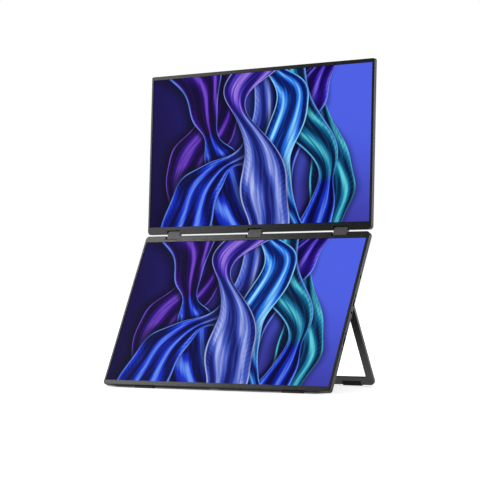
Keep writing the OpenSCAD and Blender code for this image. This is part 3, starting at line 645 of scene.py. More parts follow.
@dataclass(frozen=True)
class Board(Finish):
    """Printed circuit board: solder mask over copper tracks, pads, and dark chips that stand proud.

    Attributes:
        name: Name of its materials.
        mask: Colour of the solder mask.
        track: Colour of the mask over a track.
        pad: Colour of the bare pads.
        face: Depth of the board's front face in the local frame, in millimetres.
        back: Depth of its back face.
        pitch: Distance between tracks in millimetres.
        track_half: Half of a track's width as a share of the pitch.
        bend: Size of the areas between the tracks' bends.
        bend_shift: How far a bend shifts the tracks.
        region: Size of the areas in which the tracks run one way.
        field: Size of the areas with and without tracks.
        vias: Vias to the millimetre.
        via: Radius of a via as a share of the distance between them.
        proud: How far above the board's faces the chips start.
        chip: Colour of the chips.
        relief: Height of the pads.
    """

    name: str = "circuit_board"
    mask: Colour = srgb(10, 52, 34)
    track: Colour = srgb(22, 84, 52)
    pad: Colour = srgb(214, 172, 92)
    face: float = 0.0
    back: float = 0.0
    pitch: float = 0.8
    track_half: float = 0.17
    bend: float = 11.0
    bend_shift: float = 6.0
    region: float = 16.0
    field: float = 7.0
    vias: float = 0.55
    via: float = 0.13
    proud: float = 0.065
    chip: Colour = grey(24)
    relief: float = 0.03

    def shade(self, shader: Shader, outline: Outline) -> None:
        """Tracks, vias and chips.

        Args:
            shader: The material's tree.
            outline: Not used.
        """
        bend = shader.noise(self.bend, 0.0).ramp(0.46, 0.54) * self.bend_shift
        run_x, run_y = (((wire + bend) / self.pitch).math("FRACT") for wire in (shader.x, shader.y))
        turn = shader.noise(self.region, 0.0).ramp(0.49, 0.51)
        run = run_x * turn + run_y * (1 - turn)
        crowded = shader.noise(self.field, 1.0).ramp(0.46, 0.5)
        tracks = (run - 0.5).size().below(self.track_half, 0.03) * crowded
        vias = shader.cells(self.vias, 0.8).below(self.via)
        above = (shader.z - self.face).step_at(self.proud, 0.015)
        below = (shader.z - self.back).below(-self.proud, 0.015)
        chips = above + below
        green = shader.mix(tracks, self.mask, self.track)
        board = shader.mix(vias, green, self.pad)
        shader.set(Base_Color=shader.mix(chips, board, self.chip),
                   Metallic=vias * (1 - chips),
                   Roughness=0.32 + chips * 0.25 + (shader.noise(0.6) - 0.5) * 0.08)
        shader.bump(tracks * 0.5 + vias, self.relief)


@dataclass(frozen=True)
class Silk:
    """Colours of one side of a ribbon.

    Attributes:
        shadow: In the folds.
        body: Between the folds and the crests.
        light: On the crests.
    """

    shadow: Colour
    body: Colour
    light: Colour


@dataclass(frozen=True)
class Ribbon:
    """One ribbon of silk in the screen picture, which sways along a line and turns over as it goes.

    Lengths are in halves of the picture's height, from its middle, and angles in radians.

    Attributes:
        across: Where its line crosses the middle of the picture, from left to right.
        lean: Turn of the line from upright, to the right.
        sway: How far the line sways.
        waves: Waves of the sway per unit of length.
        phase: Start of the sway.
        width: Greatest half width.
        twist: Turn of the ribbon about its line per unit of length.
        start: Its turn in the middle of the picture.
        folds: Folds from edge to edge.
        face: Colours of its face.
        back: Colours of its back.
    """

    across: float
    lean: float
    sway: float
    waves: float
    phase: float
    width: float
    twist: float
    start: float
    folds: float
    face: Silk
    back: Silk


NIGHT = srgb(14, 4, 62)
INDIGO = srgb(30, 20, 108)
DUSK = srgb(58, 52, 150)
PERIWINKLE = srgb(78, 96, 228)
INK = srgb(4, 2, 32)
PLUM = Silk(srgb(12, 0, 50), srgb(46, 6, 124), srgb(122, 76, 210))
VIOLET = Silk(srgb(14, 2, 74), srgb(52, 20, 168), srgb(130, 110, 232))
ORCHID = Silk(srgb(24, 12, 100), srgb(72, 52, 186), srgb(180, 138, 232))
ROYAL = Silk(srgb(2, 4, 62), srgb(18, 44, 196), srgb(104, 150, 250))
AZURE = Silk(srgb(4, 22, 96), srgb(26, 108, 226), srgb(150, 226, 255))
LAVENDER = Silk(srgb(16, 24, 104), srgb(62, 84, 190), srgb(176, 190, 244))
TEAL = Silk(srgb(2, 24, 62), srgb(14, 104, 150), srgb(96, 214, 220))

RIBBONS = (
    Ribbon(-0.94, 0.30, 0.18, 2.1, 0.4, 0.36, 1.5, 0.3, 2.2, PLUM, VIOLET),
    Ribbon(0.96, -0.16, 0.20, 2.0, 2.0, 0.36, 1.3, 1.1, 2.8, TEAL, AZURE),
    Ribbon(0.56, 0.40, 0.22, 1.9, 4.1, 0.40, 1.2, 2.9, 2.6, ROYAL, VIOLET),
    Ribbon(-0.62, -0.62, 0.26, 1.9, 5.3, 0.42, 1.6, 0.6, 2.2, ROYAL, PLUM),
    Ribbon(0.74, -0.15, 0.26, 1.9, 2.6, 0.40, 1.4, 2.4, 2.4, ROYAL, TEAL),
    Ribbon(-0.34, 0.55, 0.30, 2.0, 1.0, 0.40, 1.7, 2.2, 2.4, ROYAL, LAVENDER),
    Ribbon(0.40, -0.34, 0.30, 2.2, 0.1, 0.38, 1.5, 0.2, 2.2, AZURE, ROYAL),
    Ribbon(0.0, 0.12, 0.34, 2.3, 3.3, 0.40, 1.6, 0.9, 2.0, LAVENDER, ORCHID),
)


@dataclass(frozen=True)
class ScreenPicture(Finish):
    """Lit screen behind satin glass: ribbons of silk over a night-blue ground.

    Attributes:
        name: Name of its materials.
        lit_low: Lowest corner of the lit area in the local frame, in millimetres.
        lit_high: Highest corner of the lit area.
        ribbons: The ribbons, from the back to the front.
        brightness: Strength of the light.
        border: Colour of the glass beyond the picture.
        threads: Threads between the middle of a ribbon and its hem.
        pleats: Pleats near a hem per unit of length, in radians.
        scallops: Bays of a hem per unit of length, in radians.
        edge_on: Half width of a ribbon seen edge on, as a share of its greatest.
        hem: Where the hem starts, as a share of the half width.
        shadow_shift: How far the shadow falls to the left.
        shadow_reach: How far it reaches, as a multiple of the half width.
    """

    name: str = "display_glass"
    lit_low: tuple[float, float] = (0.0, 0.0)
    lit_high: tuple[float, float] = (1.0, 1.0)
    ribbons: tuple[Ribbon, ...] = RIBBONS
    brightness: float = 1.0
    border: Colour = grey(8)
    threads: float = 7.0
    pleats: float = 90.0
    scallops: float = 8.0
    edge_on: float = 0.16
    hem: float = 0.9
    shadow_shift: float = 0.04
    shadow_reach: float = 1.5

    @staticmethod
    def ground(shader: Shader, across: Wire, up: Wire) -> Wire:
        """Even ground that goes from night blue at the left to pale blue at the right.

        Args:
            shader: The material's tree.
            across: Place across the picture.
            up: Place up the picture.

        Returns:
            The ground's colour.
        """
        left = shader.mix((across + up * 0.4).ramp(-2.0, -0.3), NIGHT, INDIGO)
        right = shader.mix((up + across * 0.3).ramp(-1.0, 0.9), DUSK, PERIWINKLE)
        return shader.mix((across + up * 0.15).ramp(-0.9, 1.3), left, right)

    def lay(self, shader: Shader, below: Wire, across: Wire, up: Wire, ribbon: Ribbon, seed: int) -> Wire:
        """Lays one ribbon over what is below it.

        Args:
            shader: The material's tree.
            below: Colour of the ribbons below.
            across: Place across the picture.
            up: Place up the picture.
            ribbon: The ribbon.
            seed: Moves the ribbon's own noise.

        Returns:
            The colour with the ribbon on it.
        """
        sine, cosine = math.sin(ribbon.lean), math.cos(ribbon.lean)
        along = across * sine + up * cosine
        run = along * ribbon.waves + ribbon.phase
        line = run.sin() * ribbon.sway + (run * 2.1 + seed).sin() * (0.3 * ribbon.sway)
        beside = across * cosine - up * sine - ribbon.across * cosine - line
        turn = along * ribbon.twist + ribbon.start
        facing = turn.cos()
        open_share = (facing * facing + 0.03) ** 0.5
        scallop = (along * self.scallops + beside.math("SIGN") * 1.4 + run.sin() * 2.0).sin()
        half = (open_share * 0.82 + scallop * 0.05 + self.edge_on) * ribbon.width
        side = beside / half
        span = side.size()
        threads = shader.layers("2D", shader.vector(along * 1.3 + seed * 3.1, side * self.threads), 4.0)
        swell = shader.layers("2D", shader.vector(along * 1.5 + seed * 5.3, side * 0.9), 0.0)
        fold = (side * (ribbon.folds * math.pi) + turn * 2.0 + swell * 5.0).cos() * 0.5 + 0.5
        pleat = (along * self.pleats - span * 22.0 + swell * 6.0).cos() * span.ramp(0.45, 0.95)
        light = fold ** 1.5 * 0.85 + (threads - 0.5) * 1.1 + pleat * 0.06 + facing.size() * 0.18 - 0.12
        sheet = []
        for silk in (ribbon.back, ribbon.face):
            dim = shader.mix(light.ramp(0.0, 0.55), silk.shadow, silk.body)
            sheet.append(shader.mix(light.ramp(0.5, 1.15), dim, silk.light))
        cloth = shader.mix(facing.ramp(-0.1, 0.1), *sheet)
        hem = span.ramp(self.hem, 0.96) * (threads.ramp(0.35, 0.6) * 0.7 + 0.2)
        cloth = shader.mix(hem, cloth, ribbon.face.light)
        shadow = ((beside + self.shadow_shift) / half).size().ramp(0.85, self.shadow_reach, 0.85, 0.0)
        shaded = shader.mix(shadow, below, INK)
        return shader.mix(span.ramp(0.97, 1.0, 1.0, 0.0), shaded, cloth)

    def shade(self, shader: Shader, outline: Outline) -> None:
        """Lit picture, black border and satin glass.

        Args:
            shader: The material's tree.
            outline: The dressed piece's box in the local frame.
        """
        sides = list(zip(self.lit_low, self.lit_high))
        half_w, half_h = ((high - low) / 2 for low, high in sides)
        x, y = (wire - (low + high) / 2 for wire, (low, high) in zip((shader.x, shader.y), sides))
        across, up = x / half_h, y / half_h
        picture = self.ground(shader, across, up)
        for seed, ribbon in enumerate(self.ribbons):
            picture = self.lay(shader, picture, across, up, ribbon, seed)
        front = shader.z.step_at(outline.high.z - 0.04, 0.01)
        lit = x.size().below(half_w) * y.size().below(half_h) * front
        shader.set(Base_Color=self.border, Roughness=0.3 + (shader.noise(0.25) - 0.5) * 0.06,
                   Specular_IOR_Level=0.012,
                   Emission_Color=shader.mix(lit, grey(0), picture), Emission_Strength=self.brightness)
        shader.bump(shader.noise(0.12, 0.0), 0.001)


# ---------------------------------------------------------------------------------------------
# Meshes


def node_points(*nodes: str) -> list[Vector]:
    """All corners of some CAD nodes, in the row frame."""
    return [v.co.copy() for node in nodes for v in frame["nodes"][node].data.vertices]


def outline_of(points: Iterable[Vector], place: Place) -> Outline:
    """The box, in millimetres, that points of the row frame fill in a local frame."""
    return Outline.of(place.local(p) for p in points)


def in_scene(name: str, data: Any) -> bpy.types.Object:
    """Makes an object that is linked to the scene.

    Args:
        name: Its name.
        data: Its mesh, light or camera.

    Returns:
        The object.
    """
    made = bpy.data.objects.new(name, data)
    bpy.context.scene.collection.objects.link(made)
    return made


def mesh_of(name: str, work: bmesh.types.BMesh) -> bpy.types.Mesh:
    """Turns a working mesh into a plain one and frees it.

    Args:
        name: The mesh's name.
        work: The working mesh.

    Returns:
        The plain mesh.
    """
    mesh = bpy.data.meshes.new(name)
    work.to_mesh(mesh)
    work.free()
    return mesh


def welded(node: str) -> bmesh.types.BMesh:
    """Copy of a CAD node's mesh with its triangles joined into whole faces.

    Args:
        node: The node's name.

    Returns:
        The joined mesh.
    """
    source = frame["nodes"][node].data
    plain = bpy.data.meshes.new("plain")
    plain.from_pydata([v.co for v in source.vertices], [], [list(p.vertices) for p in source.polygons])
    work = bmesh.new()
    work.from_mesh(plain)
    bpy.data.meshes.remove(plain)
    bmesh.ops.remove_doubles(work, verts=work.verts, dist=WELD_DISTANCE)
    bmesh.ops.dissolve_limit(work, angle_limit=FLAT_ANGLE, verts=work.verts, edges=work.edges)
    return work


def shells(node: str, place: Place) -> list[list[Vector]]:
    """Splits a CAD node into its separate solids.

    Args:
        node: The node's name.
        place: The local frame to measure them in.

    Returns:
        The local points of each solid, in millimetres, from left to right.
    """
    work = welded(node)
    left = set(work.verts)
    solids = []
    while left:
        reached, waiting = set(), [left.pop()]
        while waiting:
            vert = waiting.pop()
            reached.add(vert)
            near = {edge.other_vert(vert) for edge in vert.link_edges} & left
            left -= near
            waiting.extend(near)
        solids.append([place.local(v.co) for v in reached])
    work.free()
    return sorted(solids, key=lambda points: min(tuple(p) for p in points))


def body_of(node: str) -> str:
    """Body that a CAD node rides on."""
    return frame["nodes"][node]["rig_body"]


def bake_modifiers(piece: bpy.types.Object) -> None:
    """Turns a piece with modifiers into a plain mesh.

    Args:
        piece: The piece.
    """
    graph = bpy.context.evaluated_depsgraph_get()
    mesh = bpy.data.meshes.new_from_object(piece.evaluated_get(graph))
    piece.modifiers.clear()
    piece.data = mesh


def smooth(mesh: bpy.types.Mesh) -> None:
    """Shades a mesh smooth but for its sharp edges."""
    mesh.shade_smooth()
    mesh.set_sharp_from_angle(angle=SMOOTH_ANGLE)


def dress(piece: bpy.types.Object, finish: Finish, place: Place) -> None:
    """Gives a piece or a CAD node its finish.

    Args:
        piece: The object.
        finish: The finish.
        place: Local frame of its patterns.
    """
    outline = outline_of([v.co for v in piece.data.vertices], place)
    material = finish.material(place, outline, piece.name)
    if piece.data.materials:
        piece.data.materials[0] = material
    else:
        piece.data.materials.append(material)


def dress_nodes(finish: Finish, place: Place, *nodes: str) -> None:
    """Gives CAD nodes their finish.

    Args:
        finish: The finish.
        place: Local frame of its patterns.
        nodes: The nodes' names.
    """
    for node in nodes:
        dress(frame["nodes"][node], finish, place)
        LOG.info("%s: %s", node, finish.name)


@dataclass(frozen=True)
class Rounded:
    """A CAD node's solid with its sharp edges rounded, which stands for the node.

    Attributes:
        node: The node's name.
        radius: Radius of its edges in millimetres.
        segments: Steps across each rounded edge.
        least_turn: Turn at an edge from which on it is rounded, in degrees.
    """

    node: str
    radius: float
    segments: int = 3
    least_turn: float = 40.0

    def build(self, finish: Finish, place: Place) -> None:
        """Makes the rounded piece, which replaces the node.

        Args:
            finish: Its finish.
            place: Local frame of its patterns.
        """
        name = f"{self.node}_rounded"
        mesh = mesh_of(name, welded(self.node))
        mesh.shade_smooth()
        piece = in_scene(name, mesh)
        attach(piece, body_of(self.node))
        bevel = piece.modifiers.new("edges", "BEVEL")
        bevel.width = self.radius * MM
        bevel.segments = self.segments
        bevel.limit_method = "ANGLE"
        bevel.angle_limit = math.radians(self.least_turn)
        bevel.harden_normals = True
        bake_modifiers(piece)
        dress(piece, finish, place)
        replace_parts(piece, self.node)
        LOG.info("%s: edges rounded to %.2f mm", name, self.radius)


@dataclass(frozen=True)
class Repeats:
    """Sets copies of one small mesh on many points and joins them into one plain piece.

    Attributes:
        name: Name of the piece.
        body: The body that it rides on.
        turn: Turn of every copy about X, in radians.
        spin: Greatest turn of a copy about its own Z, in radians.
        seed: Seed of the copies' spin.
    """

    name: str
    body: str
    turn: float
    spin: float = 0.0
    seed: int = 7

    def tree(self) -> bpy.types.NodeTree:
        """Makes the tree that sets, spins, joins and dresses the copies.

        Returns:
            The tree.
        """
        tree = bpy.data.node_groups.new(self.name, "GeometryNodeTree")
        for name, kind in (("Points", "Geometry"), ("Unit", "Object"), ("Turn", "Float"),
                           ("Spin", "Float"), ("Seed", "Int"), ("Finish", "Material")):
            tree.interface.new_socket(name, in_out="INPUT", socket_type=f"NodeSocket{kind}")
        tree.interface.new_socket("Copies", in_out="OUTPUT", socket_type="NodeSocketGeometry")
        graph = Graph(tree)
        given = {socket.name: Wire(graph, socket) for socket in graph.node("NodeGroupInput").outputs}
        unit = graph.wire("GeometryNodeObjectInfo", None, {"Object": given["Unit"]}, "Geometry")
        copies = graph.wire("GeometryNodeInstanceOnPoints", None,
                            {"Points": given["Points"], "Instance": unit,
                             "Rotation": graph.vector(given["Turn"], 0.0)})
        angle = graph.wire("FunctionNodeRandomValue", {"data_type": "FLOAT"},
                           {2: given["Spin"] * -1.0, 3: given["Spin"], "Seed": given["Seed"]}, output=1)
        spun = graph.wire("GeometryNodeRotateInstances", None,
                          {"Instances": copies, "Rotation": graph.vector(0.0, 0.0, angle)})
        joined = graph.wire("GeometryNodeRealizeInstances", None, {"Geometry": spun})
        dressed = graph.wire("GeometryNodeSetMaterial", None,
                             {"Geometry": joined, "Material": given["Finish"]})
        graph.node("NodeGroupOutput", None, {"Copies": dressed})
        return tree

    def build(self, unit: bpy.types.Mesh, points: Sequence[Vector], finish: Finish,
              place: Place) -> bpy.types.Object:
        """Makes the piece.

        Args:
            unit: Mesh of one copy, in metres, about the origin.
            points: Places of the copies in the row frame.
            finish: Finish of the copies.
            place: Local frame of its patterns.

        Returns:
            The piece.
        """
        cloud = bpy.data.meshes.new(self.name)
        cloud.from_pydata(points, [], [])
        piece = in_scene(self.name, cloud)
        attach(piece, self.body)
        source = in_scene(f"{self.name}_unit", unit)
        material = finish.material(place, outline_of(points, place), self.name)
        values = {"Unit": source, "Turn": self.turn, "Spin": self.spin, "Seed": self.seed,
                  "Finish": material}
        modifier = piece.modifiers.new("copies", "NODES")
        modifier.node_group = self.tree()
        for item in modifier.node_group.interface.items_tree:
            if item.name in values:
                modifier[item.identifier] = values[item.name]
        bake_modifiers(piece)
        bpy.data.objects.remove(source)
        smooth(piece.data)
        LOG.info("%s: %d copies", self.name, len(points))
        return piece


def block(name: str, size: tuple[float, float, float], radius: float) -> bpy.types.Mesh:
    """Block with rounded edges about the origin.

    Args:
        name: The mesh's name.
        size: Its size in millimetres.
        radius: Radius of its edges in millimetres.

    Returns:
        The mesh, in metres.
    """
    work = bmesh.new()
    bmesh.ops.create_cube(work, size=MM, matrix=Matrix.Diagonal((*size, 1.0)))
    bmesh.ops.bevel(work, geom=work.edges[:], offset=radius * MM, segments=2, profile=0.5, affect="EDGES")
    return mesh_of(name, work)


@dataclass(frozen=True)
class Screw:
    """A small machine screw with a cross recess, along Z, with the face of its head at the origin.

    Attributes:
        head: Radius of its head in millimetres.
        thickness: Height of its head.
        shank: Radius over its thread.
        length: Length with the head.
        dome: Radius of the rounded rim of its head.
        arm: Length of the recess's arms from the middle.
        arm_half: Half of their width.
        recess: Depth of the recess.
        pitch: Distance between the turns of the thread.
        thread: Depth of the thread.
        floor: Size of the recess's floor as a share of its mouth.
        dome_steps: Steps across the rounded rim.
        steps: Corners round it.
    """

    head: float
    thickness: float
    shank: float
    length: float
    dome: float = 0.2
    arm: float = 0.78
    arm_half: float = 0.15
    recess: float = 0.3
    pitch: float = 0.35
    thread: float = 0.09
    floor: float = 0.6
    dome_steps: int = 3
    steps: int = 32

    @classmethod
    def of(cls, points: Sequence[Vector]) -> "Screw":
        """The screw that fills one CAD solid whose head faces back.

        Args:
            points: The solid's local points.

        Returns:
            The screw.
        """
        box = Outline.of(points)
        middle = box.middle()
        reach = {id(p): math.hypot(p.x - middle.x, p.y - middle.y) for p in points}
        head = max(reach.values())
        collar = max(p.z for p in points if reach[id(p)] > head - SAME)
        shank = max(reach[id(p)] for p in points if p.z > box.high.z - SAME)
        return cls(head, collar - box.low.z, shank, box.high.z - box.low.z)

    def profile(self) -> list[tuple[float, float]]:
        """Draws the side of the screw.

        Returns:
            Radius and height of each ring, from the rim of the face to the tip.
        """
        rings = []
        for step in range(self.dome_steps + 1):
            turn = step / self.dome_steps * math.pi / 2
            rings.append((self.head - self.dome * (1 - math.sin(turn)), -self.dome * (1 - math.cos(turn))))
        rings += [(self.head, -self.thickness), (self.shank, -self.thickness)]
        for turn in range(int((self.length - self.thickness) / self.pitch)):
            top = -self.thickness - turn * self.pitch
            rings.append((self.shank - self.thread, top - self.pitch * 0.4))
            rings.append((self.shank, top - self.pitch * 0.8))
        rings.append((self.shank - self.thread, -self.length))
        return rings

    def cross(self, share: float) -> list[tuple[float, float]]:
        """Draws the outline of the recess.

        Args:
            share: Its size as a share of the full one.

        Returns:
            Its corners.
        """
        arm, half = self.arm * share, self.arm_half * share
        corners = []
        for quarter in range(4):
            turn = Matrix.Rotation(quarter * math.pi / 2, 2)
            corners += [tuple(turn @ Vector(p)) for p in ((arm, -half), (arm, half), (half, half))]
        return corners

    def mesh(self, name: str) -> bpy.types.Mesh:
        """Builds the screw.

        Args:
            name: The mesh's name.

        Returns:
            The mesh, in metres.
        """
        work = bmesh.new()

        def loop(corners: Iterable[tuple[float, float]], height: float) -> list[bmesh.types.BMVert]:
            """Corners of one level."""
            return [work.verts.new(Vector((x, y, height)) * MM) for x, y in corners]

        def skin(upper: list[bmesh.types.BMVert], lower: list[bmesh.types.BMVert]) -> None:
            """Faces between two levels."""
            for i, corner in enumerate(upper):
                work.faces.new((corner, upper[i - 1], lower[i - 1], lower[i]))

        turns = [2 * math.pi * i / self.steps for i in range(self.steps)]
        rings = [loop([(radius * math.cos(t), radius * math.sin(t)) for t in turns], height)
                 for radius, height in self.profile()]
        for upper, lower in zip(rings, rings[1:]):
            skin(upper, lower)
        work.faces.new(rings[-1])
        mouth, floor = loop(self.cross(1.0), 0.0), loop(self.cross(self.floor), -self.recess)
        skin(mouth, floor)
        work.faces.new(floor)
        face = set(rings[0]) | set(mouth)
        rims = [edge for edge in work.edges if face.issuperset(edge.verts)]
        bmesh.ops.triangle_fill(work, edges=rims, use_beauty=True)
        bmesh.ops.recalc_face_normals(work, faces=work.faces)
        return mesh_of(name, work)


@dataclass(frozen=True)
class ScrewSet:
    """All screws of one CAD node, with cut recesses and threads, which stand for the node."""

    node: str

    def build(self, finish: Finish, place: Place) -> None:
        """Makes the screws, which replace the node.

        Args:
            finish: Their finish.
            place: Local frame in which their heads face back.
        """
        solids = shells(self.node, place)
        boxes = [Outline.of(solid) for solid in solids]
        points = [place.point(*box.middle().xy, box.low.z) for box in boxes]
        unit = Screw.of(solids[0]).mesh(f"{self.node}_unit")
        repeats = Repeats(f"{self.node}_cut", body_of(self.node), place.tilt + math.pi, math.pi / 4)
        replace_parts(repeats.build(unit, points, finish, place), self.node)


# ---------------------------------------------------------------------------------------------
# Finishes of this object


# Housing edge colour paler than its face: wear and a painted highlight.
HOUSING = Casing("housing", grey(50), grey(78), 0.42, metallic=0.55)
# Bezel edge colour darker than its face: painted shade along the bezel's edges.
BEZEL = Casing("bezel", grey(26), grey(10), 0.24, 0.3, 0.002, specular=0.22, edge_reach=0.6)
# Hinge and stand edge colours paler than their faces: wear and a painted highlight.
HINGE = Casing("hinge_metal", grey(74), grey(104), 0.42, 0.16, 0.008, metallic=0.35, edge_reach=0.5)
STAND = Casing("stand_metal", grey(66), grey(78), 0.32, 0.2, 0.006, metallic=0.9, edge_reach=0.4)
STEEL = BrushedMetal("steel", grey(168), grey(206), 0.3)
# Socket shells darker than bare steel: painted shade inside the ports and the jack.
SOCKET = BrushedMetal("socket_metal", grey(52), grey(84), 0.42, 0.1, metallic=0.8, stretch=(1.0, 12.0, 1.0))
GILT = BrushedMetal("socket_metal", srgb(206, 160, 84), srgb(236, 200, 128), 0.3, 0.05,
                    stretch=(20.0, 1.0, 1.0))
FLEX = BrushedMetal("flex", srgb(196, 120, 34), srgb(226, 160, 70), 0.35, 0.5, metallic=0.25,
                    stretch=(40.0, 1.0, 1.0))
PLASTIC = Moulding("black_plastic", grey(22), grey(38), 0.5)
MATT_BLACK = Moulding("black_plastic", grey(9), grey(16), 0.62, 0.12, 0.006, specular=0.12)
CLOTH = Moulding("black_plastic", grey(7), grey(12), 0.8, 0.3, 0.05, specular=0.1, dust=0.1)
RUBBER = Moulding("rubber", grey(18), grey(28), 0.82, 0.24, 0.02, specular=0.2, dust=0.2)
FOOT = Moulding("rubber", grey(62), grey(78), 0.82, 0.24, 0.02, dust=0.35)
LIGHT_PIPE = Moulding("light_pipe", srgb(84, 92, 96), srgb(116, 124, 128), 0.35, 0.2, 0.004)


class Side(Enum):
    """The edge of a panel that carries the hinges."""

    TOP = "top"
    BOTTOM = "bottom"


@dataclass
class Display:
    """One display: its local frame has Y up the panel from its lower edge and Z out of its front.

    Attributes:
        name: Start of its nodes' names, and of its body's name.
        hinge_side: The edge that carries the hinges.
        bezel_matt: How far back the bezel's sides are matt, in millimetres.
        glass_side_border: Glass beyond the lit area at the sides, in millimetres.
        glass_hinge_border: Glass beyond the lit area towards the hinges.
        glass_far_border: Glass beyond the lit area away from the hinges.
        place: Its local frame, measured from its glass.
    """

    name: str
    hinge_side: Side
    bezel_matt: float
    glass_side_border: float = 1.8
    glass_hinge_border: float = 2.2
    glass_far_border: float = 2.6
    place: Place = field(init=False)

    def __post_init__(self) -> None:
        """Measures the local frame from the glass and the two shells."""
        rough = Place(Vector(), self.tilt(node_points(self.node("display_glass"))))
        panel = outline_of(node_points(self.node("front_bezel"), self.node("rear_housing")), rough)
        self.place = Place(rough.point(0, panel.low.y, panel.high.z), rough.tilt)

    @staticmethod
    def tilt(glass: Sequence[Vector]) -> float:
        """Tilt of the panel, in radians, which is the one at which its glass is thinnest.

        Args:
            glass: The corners of the glass.

        Returns:
            The tilt.
        """
        def depth(tilt: float) -> float:
            """Thickness of the glass seen along its face at one tilt."""
            box = outline_of(glass, Place(Vector(), tilt))
            return box.high.z - box.low.z

        low, high = (pick(glass, key=lambda p: p.z) for pick in (min, max))
        thickness = min(length for length in ((p - low).length for p in glass) if length > SAME * MM)
        run = Vector((high.y - low.y, high.z - low.z))
        diagonal = math.atan2(run.y, run.x)
        slant = math.asin(min(1.0, thickness / run.length))
        return min((diagonal - slant, diagonal + slant, diagonal), key=depth)

    def lit_area(self) -> tuple[tuple[float, float], tuple[float, float]]:
        """Finds the lit area from the glass and its borders.

        Returns:
            Its lowest and highest corner in the local frame, in millimetres.
        """
        glass = outline_of(node_points(self.node("display_glass")), self.place)
        borders = (self.glass_far_border, self.glass_hinge_border)
        below, above = borders if self.hinge_side is Side.TOP else reversed(borders)
        return ((glass.low.x + self.glass_side_border, glass.low.y + below),
                (glass.high.x - self.glass_side_border, glass.high.y - above))

    def node(self, part: str) -> str:
        """Name of the display's node for one part."""
        return f"{self.name}_{part}"

    def build(self) -> None:
        """Dresses the shells, the glass, the backlight and the display's half of each hinge."""
        low, high = self.lit_area()
        finishes = {"rear_housing": HOUSING, "front_bezel": replace(BEZEL, matt_depth=self.bezel_matt),
                    "display_glass": ScreenPicture(lit_low=low, lit_high=high), "backlight": Sheet(),
                    "display_cable": PLASTIC, "hinge_leaves": STEEL, "hinge_shafts": STEEL,
                    "spring_washers": STEEL, "shaft_nuts": STEEL, "cable_barrels": STEEL}
        for part, finish in finishes.items():
            dress_nodes(finish, self.place, self.node(part))
        ScrewSet(self.node("hinge_screws")).build(STEEL, self.place)
        LOG.info("%s display: tilt %.2f degrees", self.name, math.degrees(self.place.tilt))


@dataclass(frozen=True)
class Boards:
    """The circuit boards, their screws and the flat cable between them.

    Attributes:
        lower: Local frame of the lower display.
        upper: Local frame of the upper display.
        front: Depth of the lower boards' front face.
        driver_front: Depth of the driver board's front face.
        lower_thickness: Thickness of the lower boards.
        driver_thickness: Thickness of the driver board.
    """

    lower: Place
    upper: Place
    front: float = -4.4
    driver_front: float = -4.2
    lower_thickness: float = 0.8
    driver_thickness: float = 0.6

    def build(self) -> None:
        """Dresses the boards and cuts their screws."""
        lower_board = Board(face=self.front, back=self.front - self.lower_thickness)
        driver = Board(face=self.driver_front, back=self.driver_front - self.driver_thickness)
        dress_nodes(lower_board, self.lower, "main_board", "port_board")
        dress_nodes(driver, self.upper, "driver_board")
        dress_nodes(FLEX, self.lower, "port_flex_cable")
        for board, place in (("main", self.lower), ("port", self.lower), ("driver", self.upper)):
            ScrewSet(f"{board}_board_screws").build(STEEL, place)


@dataclass(frozen=True)
class Port:
    """A socket in the right side with two rows of contacts on its tongue.

    Attributes:
        node: The socket's node.
        rows: Contacts in the front row and in the back row.
        pitch: Distance between the contacts of a row in millimetres.
        width: Width of a contact.
        tongue: Thickness of the tongue.
        reach: Where the contacts end, measured inwards from the socket's mouth.
        length: Length of a contact.
        thickness: How far a contact stands proud.
        edge_radius: Radius of a contact's edges.
    """

    node: str
    rows: tuple[int, int]
    pitch: float
    width: float
    tongue: float = 0.7
    reach: float = 1.1
    length: float = 3.0
    thickness: float = 0.06
    edge_radius: float = 0.015

    def build(self, place: Place) -> None:
        """Dresses the socket and sets its contacts.

        Args:
            place: Local frame of the lower display.
        """
        dress_nodes(SOCKET, place, self.node)
        box = outline_of(node_points(self.node), place)
        middle = box.middle()
        x = box.high.x - self.reach - self.length / 2
        points = []
        for count, side in zip(self.rows, (1, -1)):
            y = middle.y - (count - 1) / 2 * self.pitch
            z = middle.z + side * (self.tongue + self.thickness) / 2
            points += [place.point(x, y + i * self.pitch, z) for i in range(count)]
        unit = block(f"{self.node}_contact", (self.length, self.width, self.thickness), self.edge_radius)
        Repeats(f"{self.node}_contacts", body_of(self.node), place.tilt).build(unit, points, GILT, place)


@dataclass(frozen=True)
class RightSide:
    """What the right side of the lower display carries: ports, keys, switches and a light.

    Attributes:
        place: Local frame of the lower display.
        ports: The two ports with contacts.
        keys: Nodes of the keys.
        key_radius: Radius of the keys' edges in millimetres.
    """

    place: Place
    ports: tuple[Port, ...] = (Port("usb_c_socket", (12, 12), 0.5, 0.26),
                               Port("mini_hdmi_socket", (10, 9), 0.76, 0.34))
    keys: tuple[str, ...] = ("power_button", "source_key", "plus_key", "minus_key")
    key_radius: float = 0.15

    def build(self) -> None:
        """Builds the ports and keys and dresses the rest."""
        for port in self.ports:
            port.build(self.place)
        dress_nodes(SOCKET, self.place, "headphone_jack")
        for key in self.keys:
            Rounded(key, self.key_radius).build(MATT_BLACK, self.place)
        dress_nodes(PLASTIC, self.place, "side_switches")
        dress_nodes(LIGHT_PIPE, self.place, "status_light")


